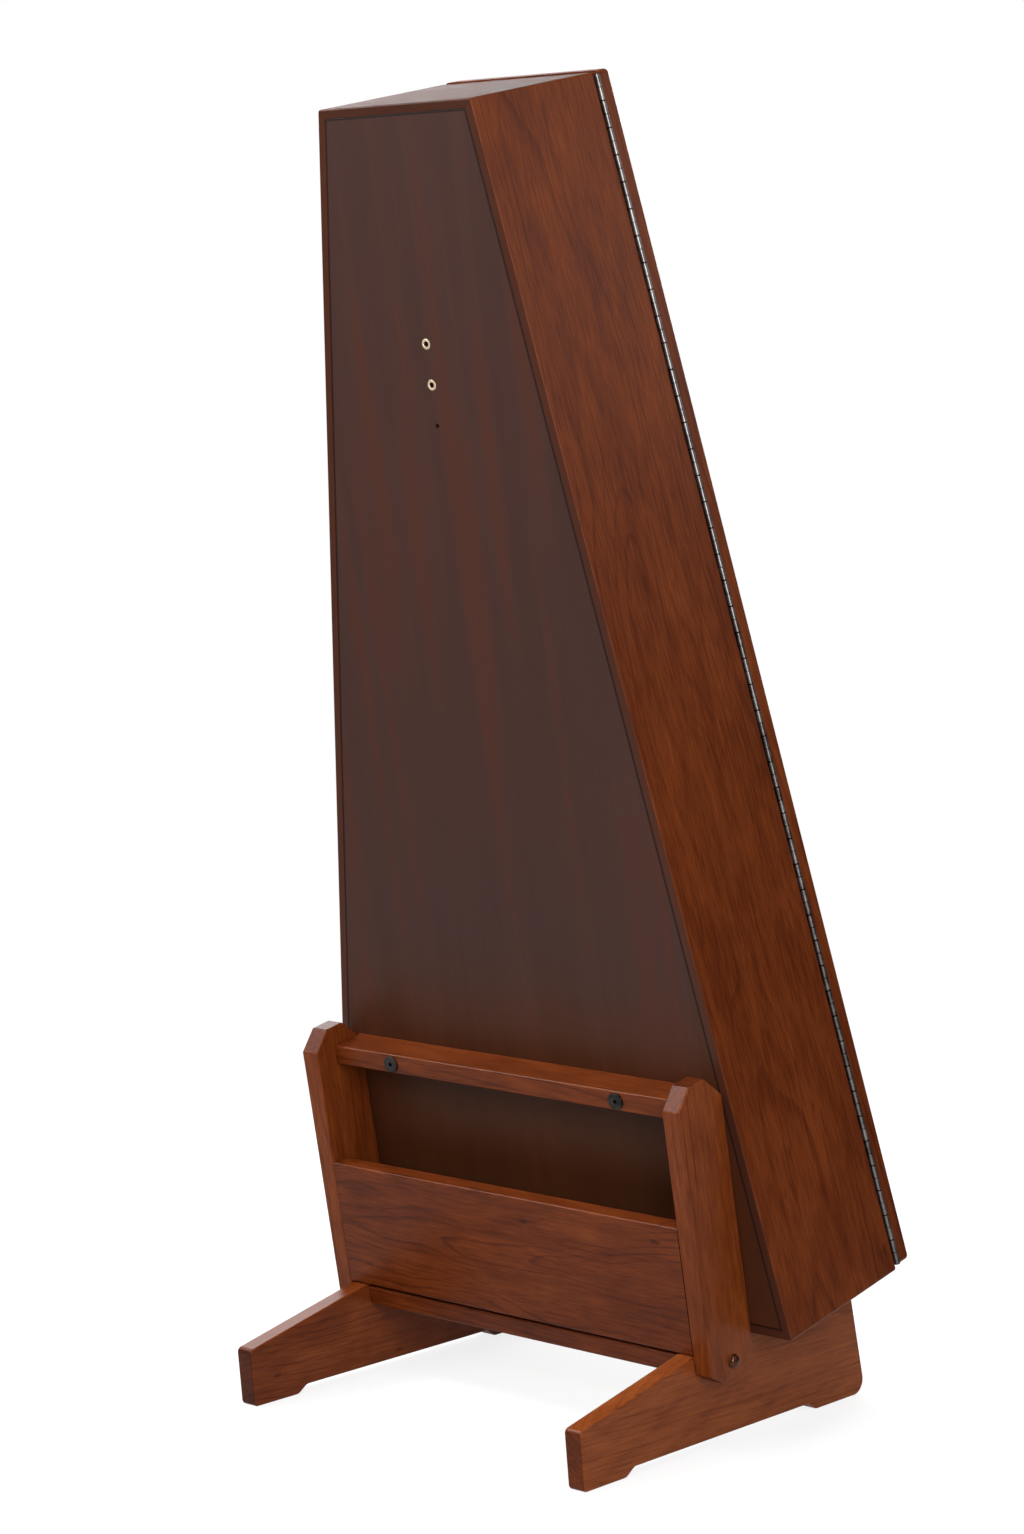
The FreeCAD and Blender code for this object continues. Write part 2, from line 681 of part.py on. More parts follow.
upright_outline = rounded([
    (at(back_play, upright_top - top_front_chamfer), upright_front_corner),
    (at(back_play, -toe_radius), toe_radius),
    (at(frame_rear_y - toe_clip_run, -toe_radius), upright_corner),
    (at(frame_rear_y, -toe_radius + toe_clip_rise), upright_corner),
    (at(frame_rear_y, upright_top - top_rear_chamfer), upright_corner),
    (at(frame_rear_y - top_rear_chamfer, upright_top), upright_corner),
    (at(back_play + top_front_chamfer, upright_top), upright_corner),
])
upright = side_prism(upright_outline, frame_inner_x, frame_outer_x)
upright = ease(upright, frame_easing,
               lambda edge: on_plane(edge, "X", frame_inner_x) or on_plane(edge, "X", frame_outer_x))
pivot_hole = rod(pivot + X_AXIS * frame_inner_x, X_AXIS, upright_thickness, pivot_radius + pivot_fit)
upright = upright.cut(pivot_hole)

apron = block(-frame_inner_x, frame_inner_x, apron_front_y, frame_rear_y, apron_lift, apron_top)
apron = ease(apron, frame_easing, lambda edge: along(edge, X_AXIS))
bar_rear_y = clamp_gap + bar_depth
crossbar = block(-frame_inner_x, frame_inner_x, clamp_gap, bar_rear_y,
                 bar_centre - bar_height / 2, bar_centre + bar_height / 2)
crossbar = ease(crossbar, frame_easing, lambda edge: along(edge, X_AXIS))

apron_y = (apron_front_y + frame_rear_y) / 2
apron_dowel_places = [FreeCAD.Vector(frame_inner_x, apron_y, apron_top * share)
                      for share in apron_dowel_shares]
bar_dowel_places = [FreeCAD.Vector(frame_inner_x, clamp_gap + bar_depth * share, bar_centre)
                    for share in bar_dowel_shares]


def mirrored(shapes):
    """The same shapes on the other side of the middle."""
    return [shape.mirror(FreeCAD.Vector(0, 0, 0), X_AXIS) for shape in shapes]


apron_dowels, apron_dowel_holes = both(dowel, apron_dowel_places, X_AXIS, frame_dowel_length)
bar_dowels, bar_dowel_holes = both(dowel, bar_dowel_places, X_AXIS, frame_dowel_length)
upright = upright.cut(apron_dowel_holes + bar_dowel_holes)
apron = apron.cut(apron_dowel_holes + mirrored(apron_dowel_holes))
crossbar = crossbar.cut(bar_dowel_holes + mirrored(bar_dowel_holes))
upright_right = upright
upright_left = mirrored([upright])[0]

connector_bolts = []
bolt_face_y = bar_rear_y + bolt_head_height
bolt_length = bar_rear_y + insert_length - bolt_tip_gap
socket_corner = bolt_socket_flats / math.cos(math.radians(30)) / 2
for x in bolt_places:
    face_point = FreeCAD.Vector(x, bar_rear_y, bar_centre)
    head = rod(face_point, Y_AXIS, bolt_head_height, bolt_head_radius)
    head = ease(head, bolt_head_easing, lambda edge: on_plane(edge, "Y", bolt_face_y))
    shank = rod(face_point, -Y_AXIS, bolt_length, bolt_radius)
    socket = front_prism(hexagon(x, bar_centre, socket_corner),
                         bar_rear_y - bolt_socket_depth, bolt_face_y + overcut)
    connector_bolts.append(union([head, shank]).cut(socket))
    crossbar = crossbar.cut(rod(face_point, -Y_AXIS, bar_depth, bolt_radius + bolt_hole_play))

# ---- the stand's base ----------------------------------------------------------------------
rest_gap = 0.05
foot_easing = 1.8
foot_toe_radius = 14.0
foot_end_radius = 5.0
foot_nose_radius = 3.0
ogee_slope = 12.0
ogee_radius = 9.0
stretcher_rear_inset = 3.0
base_dowel_length = 30.0
dowel_wall = 2.5             # wood kept beside a dowel
pin_embed = 15.0
pin_head_radius = 5.75
pin_head_rim = 1.2
pin_dome = 3.0
pin_head_gap = 0.3
pin_press_fit = 0.02


def foot_top(y):
    """Height of a foot's top edge, which carries the leaning cabinet."""
    return heel_height - rest_gap - y * math.tan(lean)


front_top_y = -foot_front_top * math.cos(lean)
pad_end = foot_rear_reach - foot_end_slant - rear_pad_length
pad_start = -foot_front_reach + front_pad_length
foot_outline = rounded([
    (at(-foot_front_reach, 0), foot_toe_radius),
    (at(pad_start, 0), ogee_radius),
    (at(pad_start + ogee_slope, arch_height), ogee_radius),
    (at(pad_end - ogee_slope, arch_height), ogee_radius),
    (at(pad_end, 0), ogee_radius),
    (at(foot_rear_reach - foot_end_slant, 0), foot_end_radius),
    (at(foot_rear_reach, foot_top(foot_rear_reach)), foot_end_radius),
    (at(front_top_y, foot_top(front_top_y)), foot_nose_radius),
])
foot_inner_x = foot_spread - foot_thickness
foot = side_prism(foot_outline, foot_inner_x, foot_spread)
foot = ease(foot, foot_easing,
            lambda edge: on_plane(edge, "X", foot_inner_x) or on_plane(edge, "X", foot_spread))

stretcher_rear_y = frame_rear_y - stretcher_rear_inset
stretcher = block(-foot_inner_x, foot_inner_x, stretcher_rear_y - stretcher_depth, stretcher_rear_y,
                  -stretcher_drop - stretcher_height, -stretcher_drop)
stretcher = ease(stretcher, frame_easing, lambda edge: along(edge, X_AXIS))
base_dowel_ys = [pivot_back + pivot_radius + dowel_radius + dowel_wall,
                 stretcher_rear_y - dowel_radius - dowel_wall]
base_dowel_places = [FreeCAD.Vector(foot_inner_x, y, -stretcher_drop - stretcher_height / 2)
                     for y in base_dowel_ys]
base_dowels, base_dowel_holes = both(dowel, base_dowel_places, X_AXIS, base_dowel_length)
stretcher = lean_back(stretcher.cut(base_dowel_holes + mirrored(base_dowel_holes)))

pin_start = foot_spread - pin_embed
pin_shoulder = frame_outer_x + pin_head_gap
pin_top = pin_shoulder + pin_head_rim + pin_dome
dome_radius = (pin_head_radius ** 2 + pin_dome ** 2) / (2 * pin_dome)
dome = Part.makeSphere(dome_radius, pivot + X_AXIS * (pin_top - dome_radius))
head = rod(pivot + X_AXIS * pin_shoulder, X_AXIS, pin_head_rim + pin_dome, pin_head_radius).common(dome)
pin_shank = rod(pivot + X_AXIS * pin_start, X_AXIS, pin_shoulder - pin_start + pin_head_rim / 2, pivot_radius)
pivot_pin = union([pin_shank, head])
pin_hole = rod(pivot + X_AXIS * pin_start, X_AXIS, pin_embed + overcut, pivot_radius + pin_press_fit)
foot = stand(foot).cut([lean_back(hole) for hole in base_dowel_holes + [pin_hole]])
foot_right = foot
foot_left = mirrored([foot])[0]

# ---- write the pieces ----------------------------------------------------------------------
os.makedirs("parts", exist_ok=True)
save("foot_left", foot_left)
save("foot_right", foot_right)
save("stretcher", stretcher)
save("stretcher_dowels", *[lean_back(piece) for piece in base_dowels + mirrored(base_dowels)])
save("pivot_pin_left", lean_back(mirrored([pivot_pin])[0]))
save("pivot_pin_right", lean_back(pivot_pin))
save("upright_left", lean_back(upright_left))
save("upright_right", lean_back(upright_right))
save("apron", lean_back(apron))
save("apron_dowels", *[lean_back(piece) for piece in apron_dowels + mirrored(apron_dowels)])
save("crossbar", lean_back(crossbar))
save("crossbar_dowels", *[lean_back(piece) for piece in bar_dowels + mirrored(bar_dowels)])
save("connector_bolts", *[lean_back(piece) for piece in connector_bolts])

save("cabinet_side_left", lean_back(side_left))
save("cabinet_side_right", lean_back(side_right))
save("cabinet_top", lean_back(top_board))
save("cabinet_bottom", lean_back(bottom_board))
save("back_panel", lean_back(back_panel))
save("hanger_inserts", *[lean_back(piece) for piece in hanger_inserts])
save("crossbar_inserts", *[lean_back(piece) for piece in bar_inserts])
save("hinge_leaf_cabinet", lean_back(on_left(leaf_cabinet)))
save("hinge_screws_cabinet", *[lean_back(on_left(screw)) for screw in leaf_screws(1)])
save("catch_body", lean_back(on_right(catch_body)))
save("catch_poles", *[lean_back(on_right(pole)) for pole in poles])
save("catch_screws", *[lean_back(on_right(screw)) for screw in catch_screws])
save("hanger_block", lean_back(hanger_block))
save("hanger_bolts", *[lean_back(bolt) for bolt in hanger_bolts])

save("hanger_yoke", lean_back(yoke))
save("yoke_sleeves", *[lean_back(sleeve) for sleeve in arm_sleeves])
save("yoke_nut", lean_back(yoke_nut))

save("door_stile_hinge_side", lean_back(stile_left))
save("door_stile_knob_side", lean_back(stile_right))
save("door_rail_top", lean_back(rail_top))
save("door_rail_bottom", lean_back(rail_bottom))
save("door_glass", lean_back(door_glass))
save("glass_bead_left", lean_back(bead_left))
save("glass_bead_right", lean_back(bead_right))
save("glass_bead_top", lean_back(bead_top))
save("glass_bead_bottom", lean_back(bead_bottom))
save("hinge_leaf_door", lean_back(on_left(leaf_door)))
save("hinge_screws_door", *[lean_back(on_left(screw)) for screw in leaf_screws(-1)])
save("hinge_pin", lean_back(on_left(hinge_pin)))
save("strike_plate", lean_back(on_right(strike_plate)))
save("strike_screws", *[lean_back(on_right(screw)) for screw in strike_screws])
save("door_knob", lean_back(knob))
save("knob_screw", lean_back(on_right(knob_screw())))
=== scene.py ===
# %% [markdown]
# # A tapered display cabinet, leaning back on its folding stand
#
# A cabinet maker built this piece from stained cherry: a four-sided case that narrows towards the
# top, a glazed door on one long hinge, and a floor stand whose rear frame folds flat. The design
# model already gives every board and fitting its true shape and place. This lesson adds what the
# eye reads: grain that follows each board, a satin finish, metal, glass and rubber, and a few small
# fittings that are drawn again with more detail. Everything is in metres, with +Z up and the door
# facing -Y.

import json
import math

import bmesh
import bpy
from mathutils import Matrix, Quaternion, Vector


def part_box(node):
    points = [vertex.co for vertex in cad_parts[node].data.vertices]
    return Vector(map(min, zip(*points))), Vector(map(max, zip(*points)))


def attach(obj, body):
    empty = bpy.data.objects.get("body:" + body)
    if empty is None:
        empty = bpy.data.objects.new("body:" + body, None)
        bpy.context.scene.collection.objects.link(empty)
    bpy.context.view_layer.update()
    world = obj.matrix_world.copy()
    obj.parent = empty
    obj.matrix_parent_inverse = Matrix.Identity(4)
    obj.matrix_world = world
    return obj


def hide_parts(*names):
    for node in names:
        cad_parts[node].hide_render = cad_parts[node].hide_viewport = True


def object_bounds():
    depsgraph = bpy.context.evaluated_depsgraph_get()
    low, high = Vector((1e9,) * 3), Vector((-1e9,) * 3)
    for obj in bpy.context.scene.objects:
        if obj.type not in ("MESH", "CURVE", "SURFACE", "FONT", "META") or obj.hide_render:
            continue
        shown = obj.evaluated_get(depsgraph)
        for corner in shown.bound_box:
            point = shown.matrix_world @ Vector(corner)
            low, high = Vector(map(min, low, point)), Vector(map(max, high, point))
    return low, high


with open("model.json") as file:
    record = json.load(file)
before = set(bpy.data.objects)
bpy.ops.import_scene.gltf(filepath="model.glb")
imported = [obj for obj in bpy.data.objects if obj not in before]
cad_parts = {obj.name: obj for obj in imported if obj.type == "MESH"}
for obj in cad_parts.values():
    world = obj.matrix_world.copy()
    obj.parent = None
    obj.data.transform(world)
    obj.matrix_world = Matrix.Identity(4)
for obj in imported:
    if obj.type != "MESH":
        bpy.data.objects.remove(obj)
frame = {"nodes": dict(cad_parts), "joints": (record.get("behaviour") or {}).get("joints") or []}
cad_low, cad_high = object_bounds()
print("design box", [round(value, 4) for value in (*cad_low, *cad_high)])

# %% [markdown]
# ## Directions to work by
#
# The case leans back and its sides taper, so few boards lie along X, Y or Z. Measuring those slopes
# again by hand would drift away from the design. The joints already know them: the slide that lifts
# the cabinet off points straight out of its door, and the long hinge runs up the tapered side.

# %% Read the slopes from the joints
joints = {joint["name"]: joint for joint in frame["joints"]}
ACROSS = Vector((1, 0, 0))
ALONG_FLOOR = Vector((0, 1, 0))
OUT_OF_DOOR = Vector(joints["cabinet_lift"]["axis"]).normalized()
INTO_BACK = -OUT_OF_DOOR
UP_THE_BACK = OUT_OF_DOOR.cross(ACROSS)
HINGE_SIDE_UP = -Vector(joints["door_swing"]["axis"]).normalized()
KNOB_SIDE_UP = Vector((-HINGE_SIDE_UP.x, HINGE_SIDE_UP.y, HINGE_SIDE_UP.z))
print("leans back by", round(math.degrees(math.asin(UP_THE_BACK.y)), 1), "degrees")
print("side tapers by", round(math.degrees(math.asin(HINGE_SIDE_UP.x)), 1), "degrees")

# %% [markdown]
# ## The camera
#
# The piece is seen from behind and a little above the middle, with a long lens from over three
# metres away, so its long edges stay nearly parallel. A camera can be placed by coordinates, or by
# saying what it looks at, from which side and from how far. The second way survives a change of
# size, so the camera circles the middle of the design's box, then slides a little in its own plane.

# %% Place the camera
view_azimuth = math.radians(220.58)
view_elevation = math.radians(5.53)
view_roll = math.radians(0.21)
view_distance = 3.312
view_slide_right = -0.0394
view_slide_up = -0.0153
lens_length = 80.48

towards_camera = Vector((math.sin(view_azimuth) * math.cos(view_elevation),
                         -math.cos(view_azimuth) * math.cos(view_elevation),
                         math.sin(view_elevation)))
camera_turn = (-towards_camera).to_track_quat("-Z", "Y")
camera_right = camera_turn @ Vector((1, 0, 0))
camera_up = camera_turn @ Vector((0, 1, 0))
middle = (cad_low + cad_high) / 2

camera = bpy.data.objects.new("camera", bpy.data.cameras.new("camera"))
camera.data.lens = lens_length
camera.rotation_mode = "QUATERNION"
camera.rotation_quaternion = camera_turn @ Quaternion((0, 0, 1), view_roll)
camera.location = (middle + towards_camera * view_distance
                   + camera_right * view_slide_right + camera_up * view_slide_up)
bpy.context.scene.collection.objects.link(camera)
bpy.context.scene.camera = camera
print("camera at", [round(value, 3) for value in camera.location])

# %% [markdown]
# ## Writing a finish as arithmetic
#
# A finish is a network of nodes. Wiring each one by hand hides the idea under plumbing, so one small
# class wraps a socket and lets Python's own operators add the Math nodes. A maker's sum such as
# "darker where a year ends" then reads as a sum.

# %% A socket that can be added and multiplied
class Socket:
    """A number, colour or place on its way through a finish."""

    def __init__(self, finish, plug):
        self.finish = finish
        self.plug = plug

    def __add__(self, other):
        return self.finish.sum("ADD", self, other)

    def __sub__(self, other):
        return self.finish.sum("SUBTRACT", self, other)

    def __rsub__(self, other):
        return self.finish.sum("SUBTRACT", other, self)

    def __mul__(self, other):
        return self.finish.sum("MULTIPLY", self, other)

    def __truediv__(self, other):
        return self.finish.sum("DIVIDE", self, other)

    __radd__ = __add__
    __rmul__ = __mul__


print("sockets can be added, subtracted, multiplied and divided")

# %% [markdown]
# ## A network of nodes
#
# Every kind of node is added in the same way: make it, set what it is, then give each of its sockets a
# value or a link. One method can therefore add any node, and one more closes the network.

# %% A network that takes any node
class Network:
    """The nodes of one material, or of the surroundings."""

    def __init__(self, name, store=bpy.data.materials):
        self.made = store.new(name)
        self.made.use_nodes = True
        self.tree = self.made.node_tree
        self.tree.nodes.clear()

    def add(self, kind, settings, sockets, output=0):
        """A node of a kind: its settings first, then the values or links of its sockets."""
        node = self.tree.nodes.new("ShaderNode" + kind)
        for name, value in settings.items():
            if name == "stops":
                for stop, (place, colour) in zip(node.color_ramp.elements, value):
                    stop.position = place
                    stop.color = (*colour, 1)
                for place, colour in value[2:]:
                    node.color_ramp.elements.new(place).color = (*colour, 1)
            else:
                setattr(node, name, value)
        for name, value in sockets.items():
            if isinstance(value, Socket):
                self.tree.links.new(value.plug, node.inputs[name])
            else:
                node.inputs[name].default_value = value
        return Socket(self, node.outputs[output])

    def end(self, shader, kind="Material"):
        """Close the network with a shader, and give back what was made."""
        last = self.tree.nodes.new("ShaderNodeOutput" + kind)
        self.tree.links.new(shader.plug, last.inputs["Surface"])
        return self.made


print("a network can take any node")

# %% [markdown]
# ## A finish
#
# A finish is a network with short names for what several finishes need: a distance along a board, an
# even speckle, a smooth step, a ramp of colours, a raised surface. A piece's "Object" coordinates stay
# with it when a joint moves it, so a finish that is worked out from them never swims.

# %% The sums that a finish is made of
class Finish(Network):
    """A network with a short way to write each sum."""

    def sum(self, operation, first, second=0.0):
        """One step of a sum."""
        return self.add("Math", {"operation": operation}, {0: first, 1: second})

    def place(self):
        """Where a point lies in the design, whatever its piece does later."""
        return self.add("TexCoord", {}, {}, "Object")

    def measure(self, place, start, direction):
        """How far a place lies from a start, along a direction."""
        away = self.add("VectorMath", {"operation": "SUBTRACT"}, {0: place, 1: start})
        return self.add("VectorMath", {"operation": "DOT_PRODUCT"}, {0: away, 1: direction}, 1)

    def distance(self, place, start):
        """How far a place lies from a start, in a straight line."""
        return self.add("VectorMath", {"operation": "DISTANCE"}, {0: place, 1: start}, 1)

    def facing(self, direction):
        """How squarely the surface looks along a direction or against it, from 0 to 1."""
        outward = self.add("TexCoord", {}, {}, "Normal")
        return self.sum("ABSOLUTE", self.measure(outward, (0, 0, 0), direction))

    def join(self, x, y, z):
        """A place from three lengths."""
        return self.add("CombineXYZ", {}, {0: x, 1: y, 2: z})

    def noise(self, place, detail=2.0, roughness=0.5, distortion=0.0):
        """A soft random height from 0 to 1, the same at every render."""
        return self.add("TexNoise", {}, {"Vector": place, "Scale": 1.0, "Detail": detail,
                                         "Roughness": roughness, "Distortion": distortion})

    def speckle(self, scale, detail=2.0, roughness=0.5):
        """Noise that is as fine in every direction."""
        place = self.add("VectorMath", {"operation": "SCALE"}, {0: self.place(), "Scale": scale})
        return self.noise(place, detail, roughness)

    def step(self, value, low, high):
        """0 below low, 1 above high, and smooth between them."""
        return self.add("MapRange", {"interpolation_type": "SMOOTHSTEP"},
                        {"Value": value, "From Min": low, "From Max": high})

    def blend(self, share, first, second):
        """A colour between two colours."""
        return self.add("Mix", {"data_type": "RGBA"}, {0: share, 6: first, 7: second}, 2)

    def ramp(self, value, stops):
        """A colour for a number, between the stops of a scale."""
        return self.add("ValToRGB", {"stops": stops}, {0: value})

    def raised(self, height, depth):
        """A normal that follows a height, where depth is what a height of 1 stands proud."""
        return self.add("Bump", {}, {"Height": height, "Distance": depth, "Strength": 1.0})

    def surface(self, **values):
        """The surface itself. Links carry what varies, plain numbers are set on its sockets."""
        sockets = {name.replace("_", " "): value for name, value in values.items()}
        return self.end(self.add("BsdfPrincipled", {}, sockets))


print("a finish can be written as sums")

# %% [markdown]
# ## Stained cherry
#
# Cherry is a quiet wood. Its years show as thin darker lines, closed in arches where a board was sawn
# near the middle of the log. Fine fibres streak the surface, light patches shimmer between them, and
# here and there a gum fleck leaves a small dark mark. The stain evens it all to a red brown, and a
# satin lacquer closes the surface.
#
# A flat picture of wood would not match round the corner of a board. So the log itself is modelled:
# every point of a board knows how far it lies from the heart of the tree, and the years are rings
# about that heart. The face, the edge and the end grain then agree, as they do in real timber.

# %% The years of a log
year_width = 0.0064
log_taper = 0.045
year_stray = 3.0


def late_wood_of(finish, along, across, deep, heart, seed, wander, curl):
    """How dark a year's end is at each point of a board, from 0 to 1. heart says how far the middle
    of the log lies sideways of and below the board's own middle, wander how far the rings stray from
    a true circle, and curl how tightly they swirl."""
    drift = finish.add("TexNoise", {}, {
        "Vector": finish.join(along * 3.2 * curl + seed, across * 8.0 * curl, deep * 8.0 * curl),
        "Scale": 1.0, "Detail": 1.2, "Roughness": 0.40}, 1)
    drift_across = finish.measure(drift, (0.5, 0.5, 0.5), (1, 0, 0))
    drift_deep = finish.measure(drift, (0.5, 0.5, 0.5), (0, 1, 0))
    from_heart_across = across - heart[0] + drift_across * wander
    from_heart_deep = deep - heart[1] + drift_deep * wander
    squared = from_heart_across * from_heart_across + from_heart_deep * from_heart_deep
    years = (finish.sum("SQRT", squared) + along * log_taper) / year_width
    pace = finish.noise(finish.join(years * 0.23, along * 0.7 + seed, 0.0), 1.0)
    years = years + pace * year_stray
    year = finish.sum("FRACT", years)
    vigour = finish.noise(finish.join(years * 0.31, along * 5.0, seed), 1.0)
    year_end = finish.step(year, 0.66, 0.95) * (1.0 - finish.step(year, 0.95, 1.0))
    return year_end * finish.step(vigour, 0.36, 0.56)


print("a year is", year_width * 1000, "mm wide")

# %% [markdown]
# ## The stain
#
# The stain is a ramp of colours from a dark pore to a pale fibre. Everything else only pushes one
# number, the tone, up or down that ramp, which is why the wood keeps to one family of browns: end
# grain drinks more stain, a gum fleck blocks the light, and a patch of curled fibres shines back. The
# narrow edges of the case also caught some of the darker stain that its back panel was given.

# %% One board's finish
STAIN = [(0.0, (0.022, 0.0045, 0.0014)),
         (0.36, (0.090, 0.0160, 0.0026)),
         (0.62, (0.158, 0.0320, 0.0055)),
         (1.0, (0.290, 0.0740, 0.0170))]
PANEL_BROWN = (0.056, 0.0175, 0.0095, 1)


def stained_cherry(name, centre, grain, face, heart, lighter_by_painted_light, dark_edge, seed,
                   wander=0.030, curl=1.0, figure=0.15):
    """Cherry for one board. grain runs along it, face points out of its wide side, paler says how
    much lighter the board is made, which paints in light and shade: lighter where the board stands in
    light, darker where it stands in shade. dark_edge says how much of the panel's dark stain its narrow
    edges took, and figure how dark its years are."""
    finish = Finish(name)
    side = grain.cross(face)
    place = finish.place()
    along = finish.measure(place, centre, grain)
    across = finish.measure(place, centre, side)
    deep = finish.measure(place, centre, face)
    late_wood = late_wood_of(finish, along, across, deep, heart, seed, wander, curl)

    streaks = finish.noise(finish.join(along * 20.0, across * 380.0 + seed, deep * 380.0), 3.0, 0.6)
    fibres = finish.noise(finish.join(along * 50.0, across * 800.0, deep * 800.0 + seed), 2.0, 0.6)
    patches = finish.noise(finish.join(along * 13.0 + seed, across * 40.0, deep * 40.0), 2.0, 0.5, 0.8)
    clouds = finish.noise(finish.join(along * 3.0, across * 9.0 + seed, deep * 9.0), 1.0)
    pores = finish.step(fibres, 0.58, 0.72)

    # The board's own lift in tone paints light and shade into its colour.
    tone = 0.50 + lighter_by_painted_light + (patches - 0.5) * 0.46 + (streaks - 0.5) * 0.42 + (clouds - 0.5) * 0.28
    tone = tone + (fibres - 0.5) * 0.58 - late_wood * figure - pores * 0.11
    end_grain = finish.step(finish.facing(grain), 0.55, 0.85)
    flecks = finish.add("TexVoronoi", {"feature": "F1"}, {
        "Vector": finish.join(along * 9.0 + seed, across * 26.0, deep * 26.0), "Scale": 1.0})
    tone = tone - end_grain * 0.34 - (1.0 - finish.step(flecks, 0.02, 0.08)) * 0.26

    edge = finish.step(finish.facing(side), 0.80, 0.97)
    colour = finish.blend(edge * dark_edge, finish.ramp(tone, STAIN), PANEL_BROWN)
    height = fibres * 0.5 - pores * 0.6 - late_wood * 0.25
    return finish.surface(
        Base_Color=colour,
        Roughness=0.36 + (fibres - 0.5) * 0.12 + (patches - 0.5) * 0.10,
        Normal=finish.raised(height, 0.00006),
        IOR=1.47,
        Specular_IOR_Level=0.20)


print("the stain has", len(STAIN), "tones")

# %% [markdown]
# ## Which way each board's grain runs
#
# A maker lays the grain along the length of every board, so that it can't swell and split the case.
# The feet run along the floor, the uprights and the case's sides run up their slopes, and the rails
# run across. The heart of the log is set a little below each board's face: close to the middle for
# boards with arches, and far to one side for straight-grained ones.

# %% List the boards: grain, face, where the log's middle lies, and how much lighter painted light makes them
HINGE_SIDE_FACE = HINGE_SIDE_UP.cross(OUT_OF_DOOR)
KNOB_SIDE_FACE = KNOB_SIDE_UP.cross(OUT_OF_DOOR)
# The last number of each board is painted light and shade: boards that stand in light are made lighter,
# boards in shade darker.
BOARDS = {
    "foot_left": (ALONG_FLOOR, ACROSS, (-0.060, -0.050), 0.31),
    "foot_right": (ALONG_FLOOR, ACROSS, (-0.055, 0.045), 0.08),
    "stretcher": (ACROSS, INTO_BACK, (0.080, -0.050), 0.00),
    "upright_left": (UP_THE_BACK, ACROSS, (0.070, -0.060), 0.13),
    "upright_right": (UP_THE_BACK, ACROSS, (-0.075, 0.050), 0.13),
    "apron": (ACROSS, INTO_BACK, (0.006, -0.020), 0.00),
    "crossbar": (ACROSS, INTO_BACK, (0.060, -0.070), 0.04),
    "cabinet_side_left": (HINGE_SIDE_UP, HINGE_SIDE_FACE, (0.025, 0.060), 0.00),
    "cabinet_side_right": (KNOB_SIDE_UP, KNOB_SIDE_FACE, (-0.020, 0.055), 0.00),
    "cabinet_top": (ACROSS, UP_THE_BACK, (0.030, -0.050), -0.28),
    "cabinet_bottom": (ACROSS, UP_THE_BACK, (0.020, -0.060), 0.00),
    "hanger_block": (UP_THE_BACK, OUT_OF_DOOR, (0.050, -0.060), 0.00),
    "door_stile_hinge_side": (HINGE_SIDE_UP, OUT_OF_DOOR, (0.075, -0.050), 0.00),
    "door_stile_knob_side": (KNOB_SIDE_UP, OUT_OF_DOOR, (-0.080, -0.050), 0.00),
    "door_rail_top": (ACROSS, OUT_OF_DOOR, (0.060, -0.050), 0.00),
    "door_rail_bottom": (ACROSS, OUT_OF_DOOR, (-0.060, -0.045), 0.00),
    "glass_bead_left": (HINGE_SIDE_UP, OUT_OF_DOOR, (0.070, -0.050), 0.00),
    "glass_bead_right": (KNOB_SIDE_UP, OUT_OF_DOOR, (-0.070, -0.050), 0.00),
    "glass_bead_top": (ACROSS, OUT_OF_DOOR, (0.060, -0.050), 0.00),
    "glass_bead_bottom": (ACROSS, OUT_OF_DOOR, (0.060, -0.050), 0.00),
    "door_knob": (OUT_OF_DOOR, ACROSS, (0.040, -0.030), 0.00),
}
FIGURED = {"apron": {"wander": 0.055, "curl": 1.8, "figure": 0.21},
           "cabinet_side_left": {"wander": 0.042, "curl": 1.5, "figure": 0.11},
           "cabinet_side_right": {"wander": 0.042, "curl": 1.5, "figure": 0.11}}
DARK_EDGED = ("cabinet_side_left", "cabinet_side_right", "cabinet_top", "cabinet_bottom")
print(len(BOARDS), "boards,", len(FIGURED), "of them with a lively figure")

# %% [markdown]
# ## Cutting the boards from the log
#
# Every board is cut from another stretch of the log. A seed moves each one along the noise, so that no
# two boards show the same streaks, and the spacing of the seeds is uneven enough never to line up.

# %% Stain every board
def put_on(node, material):
    """A finish on a carried-over piece, in place of what it came with."""
    mesh = frame["nodes"][node].data
    mesh.materials.clear()
    mesh.materials.append(material)


def centre_of(node):
    """The middle of a design node's box."""
    low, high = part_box(node)
    return (low + high) / 2


seed_gap = 7.31
dark_edge_share = 0.90
for count, (node, (grain, face, heart, lighter_by_painted_light)) in enumerate(BOARDS.items()):
    dark_edge = dark_edge_share if node in DARK_EDGED else 0.0
    put_on(node, stained_cherry(node + "_cherry", centre_of(node), grain, face, heart, lighter_by_painted_light,
                                dark_edge, count * seed_gap, **FIGURED.get(node, {})))
print(len(BOARDS), "boards stained")

# %% [markdown]
# ## Measuring a piece
#
# The next finishes change near an edge, so they need to know where a piece begins and ends along some
# slope. A box along X, Y and Z can't tell, but the piece's own points can.

# %% Measure a piece along a direction
def points_of(node):
    """The points of a design node."""
    return [vertex.co for vertex in frame["nodes"][node].data.vertices]


def span(points, direction):
    """The least and most that some points lie along a direction."""
    lengths = [point.dot(direction) for point in points]
    return min(lengths), max(lengths)


panel_foot, panel_head = span(points_of("back_panel"), UP_THE_BACK)
print("the panel is", round(panel_head - panel_foot, 3), "m long")
